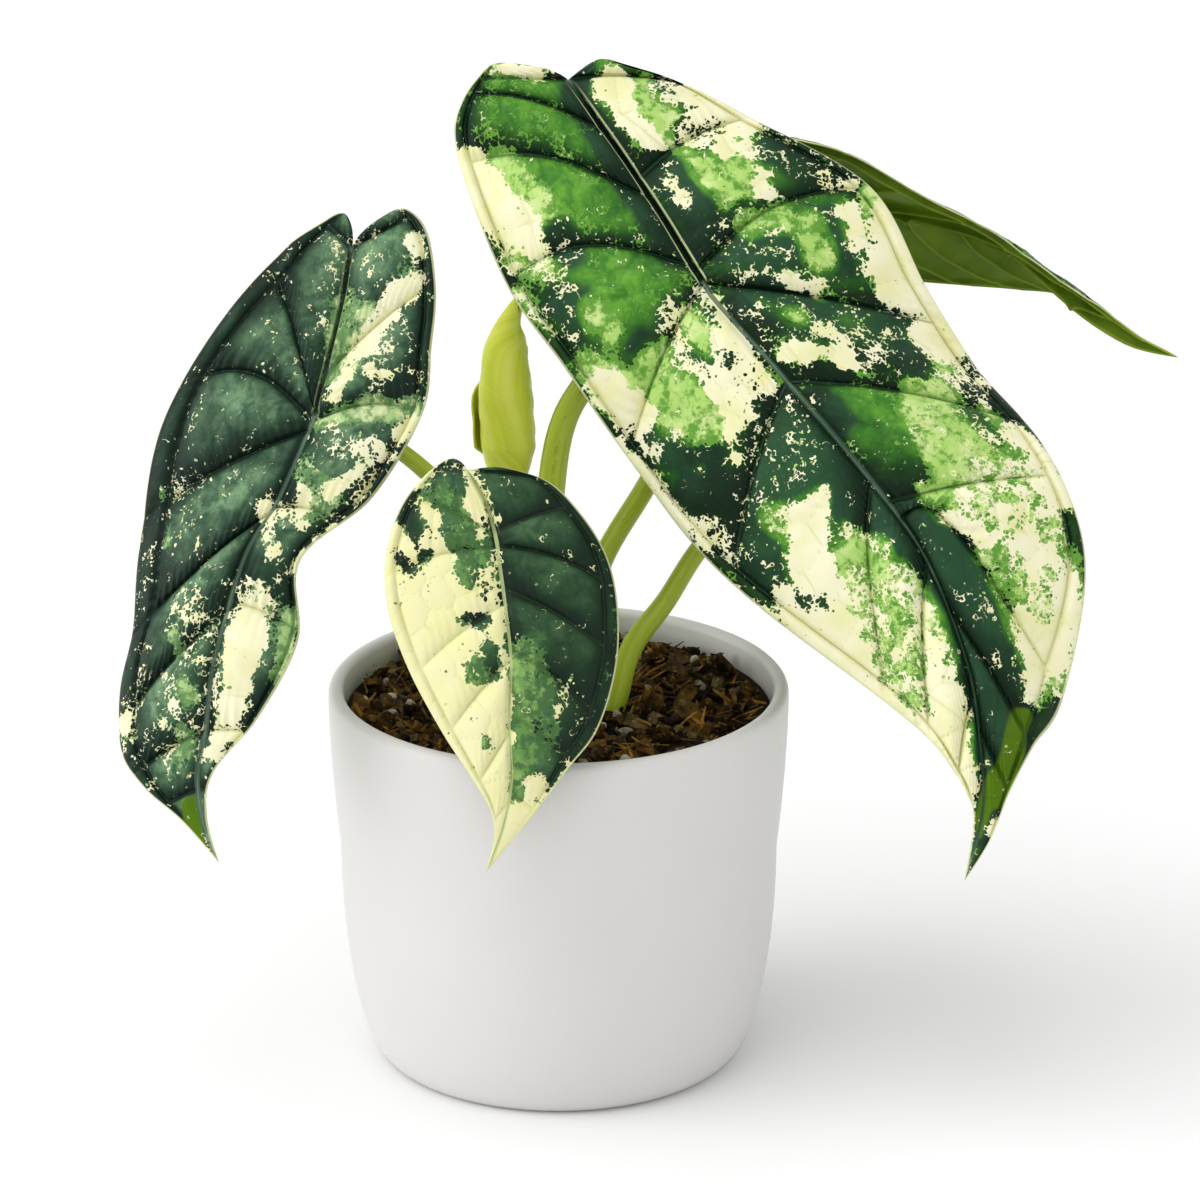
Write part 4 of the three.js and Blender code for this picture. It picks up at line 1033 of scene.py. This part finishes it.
# %% Node group and materials: striped stalk
stalk, given_stalk, result_stalk = new_group(
    "striped stalk",
    {"Lime": colour("#a5b92a"), "Bright": colour("#c6d24c"), "Dark": colour("#66800c"),
     "Lined": 0.6},
    {"Color": colour("#a8b832"), "Roughness": 0.35, "Height": 0.0},
)
around, upward, line = field(stalk, "stalk")
stretched = add_node(stalk, "ShaderNodeCombineXYZ", {0: around, 1: upward, 2: 0.0}).outputs[0]
stripes = add_node(stalk, "ShaderNodeVectorMath", {0: stretched, 1: (1.0, 0.035, 1.0)},
                   operation="MULTIPLY").outputs[0]
broad = step(stalk, noise(stalk, stripes, 0.28, 2.0, 0.5), 0.35, 0.7)
fine = noise(stalk, stripes, 1.6, 3.0, 0.6)
shade = blend(stalk, broad, given_stalk["Lime"], given_stalk["Bright"])
dusk = step(stalk, noise(stalk, stripes, 0.22, 1.0), 0.5, 0.68)
shade = tint(stalk, shade, given_stalk["Dark"], dusk, 0.6)
shade = tint(stalk, shade, given_stalk["Dark"], step(stalk, fine, 0.5, 0.75), 0.3)
pale_line = step(stalk, line, 0.5, 0.1)
shade = tint(stalk, shade, colour("#dfe39a"), pale_line, given_stalk["Lined"])
hand_out(stalk, result_stalk, Color=shade, Roughness=times_plus(stalk, fine, 0.2, 0.25),
         Height=times_plus(stalk, pale_line, 0.12, times(stalk, fine, 0.1)))
stalk_material = new_material("lime stalk", stalk, {}, 0.6, Specular_IOR_Level=0.3)
young_codes = {"Lime": colour("#d6df45"), "Bright": colour("#e2e764"), "Dark": colour("#c6d23c")}
young_material = new_material("rolled leaf", stalk, {**young_codes, "Lined": 0.2}, 0.6,
                              Specular_IOR_Level=0.15)

# %% The stalks' lines, in mm, as in the frame, and their radii at foot and top
FOOT = 79.95
STALKS = {
    "large": ((4.4, 3), [(-3, 6, FOOT), (-3, 7, 97), (-2.5, 8, 144), (0.7, 10, 168),
                         (5.4, 11, 178), (20, 13, 195)]),
    "left": ((3, 2), [(-10, -1.5, FOOT), (-12, -2, 97), (-17, -4, 128), (-27, -7, 154),
                      (-39, -10, 168), (-53, -11, 177)]),
    "front": ((2.8, 1.9), [(-1, -8.5, FOOT), (-3, -11, 97), (-6, -19, 124), (-10, -29, 146),
                           (-13.5, -38, 156)]),
    "back": ((3.3, 2.3), [(5, 6, FOOT), (7, 8, 97), (10, 13, 127), (23, 24, 148),
                          (42, 38, 177), (58, 49, 202)]),
    "hidden": ((3.3, 2.2), [(9, -2.5, FOOT), (14.5, -5.2, 97), (19, 1, 111), (28, 7, 122),
                            (37, 12, 135), (54, 15, 153)]),
    "young": ((2.4, 2.6), [(-10.5, 7.5, FOOT), (-13, 10, 97), (-14, 12, 124),
                           (-13.3, 14, 148.5)]),
}


def centripetal(knots, count):
    """A smooth line that bends close to its points, without loops."""
    first, last = 2 * knots[0] - knots[1], 2 * knots[-1] - knots[-2]
    padded = np.vstack([first, knots, last])
    pieces = []
    for p0, p1, p2, p3 in zip(padded, padded[1:], padded[2:], padded[3:]):
        d1, d2, d3 = [np.linalg.norm(b - a) ** 0.5 for a, b in ((p0, p1), (p1, p2), (p2, p3))]
        v1 = ((p1 - p0) / d1 - (p2 - p0) / (d1 + d2) + (p2 - p1) / d2) * d2
        v2 = ((p2 - p1) / d2 - (p3 - p1) / (d2 + d3) + (p3 - p2) / d3) * d2
        w = np.linspace(0, 1, count, endpoint=False)[:, None]
        pieces.append(hermite(p1, p2, v1, v2, w))
    return np.vstack([*pieces, knots[-1:]])


def even_line(points, count):
    """Points evenly spaced on the smooth line through the given ones, each with two
    directions square to the line, and the distance walked."""
    dense = centripetal(np.array(points, float), 40)
    run = walked(dense)
    at = np.linspace(0, run[-1], count)
    line = np.stack([np.interp(at, run, dense[:, k]) for k in range(3)], 1)
    along = np.gradient(line, axis=0)
    along /= np.linalg.norm(along, axis=1)[:, None]
    front = np.array([0.0, -1.0, 0.0])
    ahead = []
    for direction in along:
        front = front - front @ direction * direction
        front /= np.linalg.norm(front)
        ahead.append(front)
    ahead = np.array(ahead)
    return line, ahead, np.cross(along, ahead), at


def round_line(line, ahead, sideways, angle, radius):
    """Points at an angle and a radius about each point of a line."""
    out = np.cos(angle)[..., None] * ahead[:, None] + np.sin(angle)[..., None] * sideways[:, None]
    return line[:, None] + radius[..., None] * out


# %% Rolling each stalk round its line
SEAM = np.linspace(0, 2 * np.pi, 33)
STALK_RINGS = 90
GROOVE = 2.9
RIDGES = 2.35, 3.45
UNDER_JOINT = 1.7


def build_stalk(name):
    (foot, top), points = STALKS[name]
    if name in BLADES:
        joint, _, _, out, _ = blade_frame(BLADES[name])
        points = points + [tuple(joint - out * UNDER_JOINT)]
    line, ahead, sideways, at = even_line(points, STALK_RINGS)
    at = at[:, None]
    ridges = sum(np.exp(-((SEAM - ridge) / 0.16) ** 2) for ridge in RIDGES)
    groove = np.exp(-((SEAM - GROOVE) / 0.32) ** 2)
    shape = 1 + 0.05 * np.cos(2 * SEAM + 0.8) - 0.16 * groove + 0.05 * ridges
    radius = (foot + (top - foot) * at / at[-1]) * shape
    radius = radius * (1 + 0.012 * np.sin(at / 7 + 3 * np.sin(SEAM)))
    radius[[0, -1]] = 0
    points = round_line(line, ahead, sideways, np.tile(SEAM, (STALK_RINGS, 1)), radius)
    to_ridge = np.minimum(*[np.abs(SEAM - ridge) for ridge in RIDGES]) * radius
    around = SEAM * (foot + top) / 2
    fields = {"stalk": np.stack(np.broadcast_arrays(around, at, to_ridge), -1)}
    piece = welded(f"stalk_{name}", [laid_grid("roll", points, fields, stalk_material)])
    stands_for(piece, "petiole", f"petiole_{name}")


for name in STALKS:
    build_stalk(name)

# %% [markdown]
# The youngest leaf is a scroll: one sheet wound a turn and a third about its line, with a
# thin free edge that winds down its front, and side veins that show as faint slanting lines.

# %% The rolled leaf
YOUNG = dict(
    line=[(-13.3, 14, 149), (-13.5, 15, 163), (-14.2, 16.5, 178), (-13.6, 17.6, 190),
          (-10, 18.6, 201)],
    radius=[3.2, 5.8, 5.6, 3.9, 0.7], turns=[0.9, 1.35, 1.4, 1.2, 0.9],
    gap=[0.6, 1.9, 1.9, 1.7, 0.4], rows=110, columns=120, skin=0.6, rounding=0.5, vein_step=7.5)


def build_rolled_leaf():
    line, ahead, sideways, at = even_line(YOUNG["line"], YOUNG["rows"])
    at = at[:, None]
    share = at / at[-1]
    turns, radius, gap = [np.interp(share, np.linspace(0, 1, 5), YOUNG[values])
                          for values in ("turns", "radius", "gap")]
    sweep = np.linspace(0, 1, YOUNG["columns"])
    turn = turns * sweep
    angle = 2 * np.pi * turn + 2.6 - 1.6 * share + 0.5 * np.sin(share * 5)
    radius = radius + gap * turn
    spread = radius * turns * 2 * np.pi
    to_end = np.minimum(sweep, 1 - sweep) * spread
    near = np.clip(np.minimum(to_end, np.minimum(at, at[-1] - at)) / YOUNG["rounding"], 0, 1)
    half = YOUNG["skin"] / 2 * np.sqrt(1 - (1 - near) ** 2)
    slant = (at + 0.5 * spread * sweep) % YOUNG["vein_step"]
    to_vein = np.abs(slant - YOUNG["vein_step"] / 2)
    radius = radius + 0.08 * np.cos(slant / YOUNG["vein_step"] * 2 * np.pi)
    radius = radius + 0.1 * ripple(at, spread * sweep, 9, 3)
    three = np.broadcast_arrays(spread * sweep, at, np.minimum(to_vein, to_end))
    fields = {"stalk": np.stack(three, -1)}
    sheets = []
    for sign in (1, -1):
        points = round_line(line, ahead, sideways, angle, np.maximum(0.12, radius + sign * half))
        sheets.append(laid_grid("scroll", points, fields, young_material))
    stands_for(welded("leaf_young", sheets), "young_blade", "blade_young")


build_rolled_leaf()

# %% [markdown]
# The pot is turned: a thick wall with a soft rounded lip, a rounded foot, and a satin glaze.
# A circle is drawn out ring by ring along the same profile as the solid's.

# %% The pot's profile
POT = dict(height=102, base=45, belly=57.4, belly_z=58, rim=60.2, wall=4.2, floor=6)
LIP = dict(z=99.4, half=2.1, rise=2.6, degrees=(15, 40, 65), outer_play=0.05)


def pot_radius(z):
    below = 1 - z / POT["belly_z"]
    if below > 0:
        return POT["base"] + (POT["belly"] - POT["base"]) * math.sin(math.acos(below))
    left = 1 - (z - POT["belly_z"]) / (POT["height"] - POT["belly_z"])
    return POT["belly"] + (POT["rim"] - POT["belly"]) * (1 - left**1.8)


def inner_radius(z):
    return pot_radius(max(0, z - 1)) - POT["wall"]


def pot_profile():
    """(radius, z) from the foot's ring, up the outside, over the lip and down inside."""
    foot = [(38.5, 1.2), (40, 0.3), (42, 0), (44, 0), (45.6, 0.3)]
    outer = [(pot_radius(z), z)
             for z in (0.9, 2.2, 4, 6, 9, 13, 18, 24, 32, 40, 49, 58, 68, 80, 90, 97)]
    middle = POT["rim"] - POT["wall"] / 2
    lip = [(LIP["half"] * math.cos(a) ** 0.8, LIP["z"] + LIP["rise"] * math.sin(a))
           for a in map(math.radians, LIP["degrees"])]
    outer += [(middle + r - LIP["outer_play"], z) for r, z in lip] + [(middle, POT["height"])]
    inner = [(middle - r, z) for r, z in lip[::-1]]
    inner += [(inner_radius(z), z) for z in (96, 88, 78, 64, 50, 36, 24, 14, 9)]
    floor = [(inner_radius(9) - 1.5, 7), (inner_radius(9) - 5, POT["floor"])]
    return foot + outer + inner + floor + [(18, POT["floor"]), (9, POT["floor"])]


# %% Node group, material and pot: satin glaze
glaze, _, result_glaze = new_group(
    "satin glaze", {}, {"Color": colour("#efedea"), "Roughness": 0.4, "Height": 0.0})
place = millimetres(glaze)
cloud = noise(glaze, place, 0.03, 3.0)
grain = noise(glaze, place, 1.1, 4.0, 0.6)
wave = times_plus(glaze, noise(glaze, place, 0.05, 2.0), 0.25, times(glaze, grain, 0.02))
hand_out(glaze, result_glaze, Color=blend(glaze, cloud, colour("#d8d6d4"), colour("#d2d0ce")),
         Roughness=times_plus(glaze, grain, 0.14, 0.36), Height=wave)
glaze_material = new_material("satin glaze", glaze, {}, 0.5, Specular_IOR_Level=0.5)

pot = turned_body("white_pot", (12, 1.2), pot_profile(), 96, glaze_material)
bpy.ops.object.shade_smooth_by_angle(angle=math.radians(40))
stands_for(pot, "ceramic", "pot")

# %% [markdown]
# The soil is loose: dark crumbs, bark chips, curled coir fibres and white perlite. One
# closed plug fills the pot to 7 mm below the rim. A few chips, fibres and grains are each
# shaped once, and copies of them are turned, sized and pressed into the plug's top.

# %% Node group and materials: crumbly soil
crumb, given_crumb, result_crumb = new_group(
    "crumbly",
    {"Dark": colour("#1a100a"), "Warm": colour("#5a3a1e"), "Pale": colour("#8d7350"), "Share": 0.5},
    {"Color": colour("#3a2616"), "Roughness": 0.9, "Height": 0.0})
place = millimetres(crumb)
clump = step(crumb, noise(crumb, place, 0.16, 5.0, 0.7), 0.36, 0.66)
shade = blend(crumb, clump, given_crumb["Dark"], given_crumb["Warm"])
flake = step(crumb, noise(crumb, place, 0.5, 4.0, 0.7), 0.56, 0.72)
shade = tint(crumb, shade, given_crumb["Pale"], flake, given_crumb["Share"])
hand_out(crumb, result_crumb, Color=shade, Roughness=times_plus(crumb, clump, 0.2, 0.72),
         Height=times(crumb, noise(crumb, place, 1.4, 5.0, 0.7), 1.2))


def soil_material(name, dark, warm, pale, share):
    inputs = {"Dark": colour(dark), "Warm": colour(warm), "Pale": colour(pale), "Share": share}
    return new_material(name, crumb, inputs, 0.8, Specular_IOR_Level=0.1)


earth = soil_material("dark earth", "#0e0904", "#2f200d", "#7c5f33", 0.4)
bark = soil_material("bark", "#1f1508", "#795824", "#c79f5e", 0.7)
dull_bark = soil_material("weathered bark", "#2a2012", "#7a6843", "#c8b58c", 0.7)
coir = soil_material("coir", "#4f3412", "#a87d35", "#d8b26b", 0.4)
perlite = soil_material("perlite", "#8f8573", "#cdc5b2", "#efe9da", 0.6)
skin_of_corm = soil_material("corm skin", "#2e1c10", "#5f4026", "#8f6d47", 0.4)
corm_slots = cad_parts["corm"].data.materials
corm_slots.clear()
corm_slots.append(skin_of_corm)

# %% The plug
SOIL_TOP = 95.0
SOIL_CROWN = 1.6
SOIL_REACH = 56
PLUG_FOOT = 6.3
PLUG_PLAY = 0.4


def ground(x, y):
    """Height of the bare soil, in mm."""
    reach = np.hypot(x, y)
    lumps = 0.9 * ripple(x, y, 17, 31) + 0.7 * ripple(x, y, 7, 32) + 0.4 * ripple(x, y, 3.2, 33)
    crown = SOIL_CROWN * (1 - reach / SOIL_REACH)
    return SOIL_TOP + crown + lumps * (1 - fade(reach, 50, SOIL_REACH))


def corners_of(piece):
    corners = np.zeros(len(piece.data.vertices) * 3)
    piece.data.vertices.foreach_get("co", corners)
    return corners.reshape(-1, 3)


side = [(inner_radius(9) - 6, PLUG_FOOT)]
side += [(inner_radius(z) - PLUG_PLAY, z) for z in (9, 16, 30, 50, 70, 86, 94.6)]
top = [(radius, SOIL_TOP) for radius in np.linspace(54.6, 1.4, 39)]
plug = turned_body("soil_plug", (10, PLUG_FOOT), side + top, 128, earth)
corners = corners_of(plug) / MM
surface = np.isclose(corners[:, 2], SOIL_TOP, atol=0.1)
corners[surface, 2] = ground(corners[surface, 0], corners[surface, 1])
plug.data.vertices.foreach_set("co", (corners * MM).reshape(-1))
bpy.ops.object.shade_smooth()
stands_for(plug, "soil", "soil")

# %% Shapes that are scattered: a chip of bark, a fibre, a crumb
def crumb_shape(kind, seed):
    """A small shape about 1 mm across, as corners and faces."""
    random = np.random.default_rng(seed)
    bpy.ops.object.select_all(action="DESELECT")
    if kind == "chip":
        bpy.ops.mesh.primitive_cube_add(size=1)
        bpy.ops.object.mode_set(mode="EDIT")
        bpy.ops.mesh.subdivide(number_cuts=1, smoothness=0)
    elif kind == "fibre":
        bpy.ops.mesh.primitive_cylinder_add(vertices=4, radius=0.5, depth=1)
        bpy.ops.object.mode_set(mode="EDIT")
        bpy.ops.mesh.bisect(plane_co=(0, 0, 0.18), plane_no=(0, 0, 1))
        bpy.ops.mesh.select_all(action="SELECT")
        bpy.ops.mesh.bisect(plane_co=(0, 0, -0.18), plane_no=(0, 0, 1))
    else:
        bpy.ops.mesh.primitive_ico_sphere_add(subdivisions=2, radius=0.5)
        bpy.ops.object.mode_set(mode="EDIT")
    bpy.ops.object.mode_set(mode="OBJECT")
    shape = bpy.context.object
    corners = corners_of(shape)
    if kind == "chip":
        corners *= 1 + random.uniform(-0.22, 0.22, corners.shape)
        corners[:, 2] += 0.5 * corners[:, 0] ** 2 * random.uniform(-1, 1)
    elif kind == "fibre":
        bend = random.uniform(0.12, 0.4)
        thin = 0.055 * (1 - 0.6 * np.abs(2 * corners[:, 2:]))
        corners = np.hstack([corners[:, 2:], corners[:, :2] * thin * 2])
        corners[:, 1] += bend * corners[:, 0] ** 2
        corners[:, 2] += random.uniform(-0.3, 0.3) * corners[:, 0] ** 3
    else:
        corners *= 1 + random.uniform(-0.16, 0.16, corners.shape)
    faces = [list(p.vertices) for p in shape.data.polygons]
    bpy.data.objects.remove(shape)
    return corners, faces


# %% Scattering copies, each with its own place, turn and size
def turned(corners, tilt, roll, turn):
    (ct, st), (cr, sr), (cz, sz) = [(math.cos(a), math.sin(a)) for a in (tilt, roll, turn)]
    about_x = np.array([[1, 0, 0], [0, ct, -st], [0, st, ct]])
    about_y = np.array([[cr, 0, sr], [0, 1, 0], [-sr, 0, cr]])
    about_z = np.array([[cz, -sz, 0], [sz, cz, 0], [0, 0, 1]])
    return corners @ (about_z @ about_y @ about_x).T


SHAPES = 5
BED = 52.5
BED_EDGE = 54.8


def scatter(name, kind, count, sizes, tilt, sink, material, seed):
    """Lays copies of five shapes of a kind on the soil, sunk by a share of their height."""
    random = np.random.default_rng(seed)
    shapes = [crumb_shape(kind, seed + k) for k in range(SHAPES)]
    corners, faces, base = [], [], 0
    for k in range(count):
        shape, sides = shapes[k % SHAPES]
        size = np.array([random.uniform(*span) for span in sizes])
        reach, bearing = BED * math.sqrt(random.uniform()), random.uniform(0, 2 * math.pi)
        x, y = reach * math.cos(bearing), reach * math.sin(bearing)
        tilts = random.uniform(-tilt, tilt, 2)
        copy = turned(shape * size, *tilts, random.uniform(0, 2 * math.pi))
        lift = ground(x, y) + random.uniform(*sink) * size[2]
        over = np.hypot(copy[:, 0] + x, copy[:, 1] + y).max() - BED_EDGE
        inward = 1 - max(0, over) / max(1, reach)
        corners.append(copy + (x * inward, y * inward, lift))
        faces += [[base + i for i in side] for side in sides]
        base += len(copy)
    mesh = bpy.data.meshes.new(name)
    mesh.from_pydata((np.vstack(corners) * MM).tolist(), [], faces)
    mesh.materials.append(material)
    piece = bpy.data.objects.new(name, mesh)
    bpy.context.scene.collection.objects.link(piece)
    select_only(piece)
    bpy.ops.object.mode_set(mode="EDIT")
    bpy.ops.mesh.select_all(action="SELECT")
    bpy.ops.mesh.normals_make_consistent(inside=False)
    bpy.ops.object.mode_set(mode="OBJECT")
    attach(piece, "root")
    print(name, "has", count, "copies and", len(mesh.polygons), "faces")


CHIP_SPANS = [(3, 10), (2, 5), (0.8, 2.2)], [(2, 7), (1.5, 4), (0.8, 2)]
scatter("bark_chips", "chip", 210, CHIP_SPANS[0], 1.1, (0.0, 0.7), bark, 100)
scatter("weathered_chips", "chip", 170, CHIP_SPANS[1], 1.1, (0.0, 0.7), dull_bark, 200)
scatter("soil_crumbs", "crumb", 420, [(1.5, 4), (1.5, 4), (1, 3)], 0.8, (0.0, 0.5), earth, 300)
scatter("coir_fibres", "fibre", 320, [(6, 16), (6, 16), (5, 9)], 0.7, (0.02, 0.2), coir, 400)
scatter("perlite_grains", "crumb", 50, [(1.8, 4.2), (1.6, 3.6), (1.4, 3)], 0.8, (0.3, 0.7),
        perlite, 500)

# %% [markdown]
# A white floor carries a soft shadow to the right. A broad light stands at the upper left,
# a low one lights the pot's left side, and the sky is plain white, so nothing goes black.

# %% Stage and lights
bpy.ops.object.select_all(action="DESELECT")
bpy.ops.mesh.primitive_plane_add(size=12, location=(0, 2, 0))
floor = bpy.context.object
floor.name = "floor"
floor_material = bpy.data.materials.new("pale floor")
floor_material.use_nodes = True
floor_shader = floor_material.node_tree.nodes["Principled BSDF"]
floor_shader.inputs["Base Color"].default_value = (0.93, 0.93, 0.93, 1)
floor_shader.inputs["Roughness"].default_value = 0.8
floor_shader.inputs["Specular IOR Level"].default_value = 0.1
floor.data.materials.append(floor_material)

BROAD_LIGHT = dict(towards=(-0.38, -0.22, 0.9), energy=1.0, width=55)
LOW_LIGHT = dict(towards=(-0.95, -0.1, 0.2), energy=1.1, width=40)
SKY_LIGHT = 0.81

for light in (BROAD_LIGHT, LOW_LIGHT):
    bpy.ops.object.light_add(type="SUN")
    sun = bpy.context.object
    sun.rotation_euler = Vector(light["towards"]).to_track_quat("Z", "Y").to_euler()
    sun.data.energy = light["energy"]
    sun.data.angle = math.radians(light["width"])

world = bpy.data.worlds.new("studio")
world.use_nodes = True
sky = world.node_tree.nodes["Background"].inputs
sky["Color"].default_value = (1, 1, 1, 1)
sky["Strength"].default_value = SKY_LIGHT
bpy.context.scene.world = world
bpy.context.scene.view_settings.view_transform = "Standard"
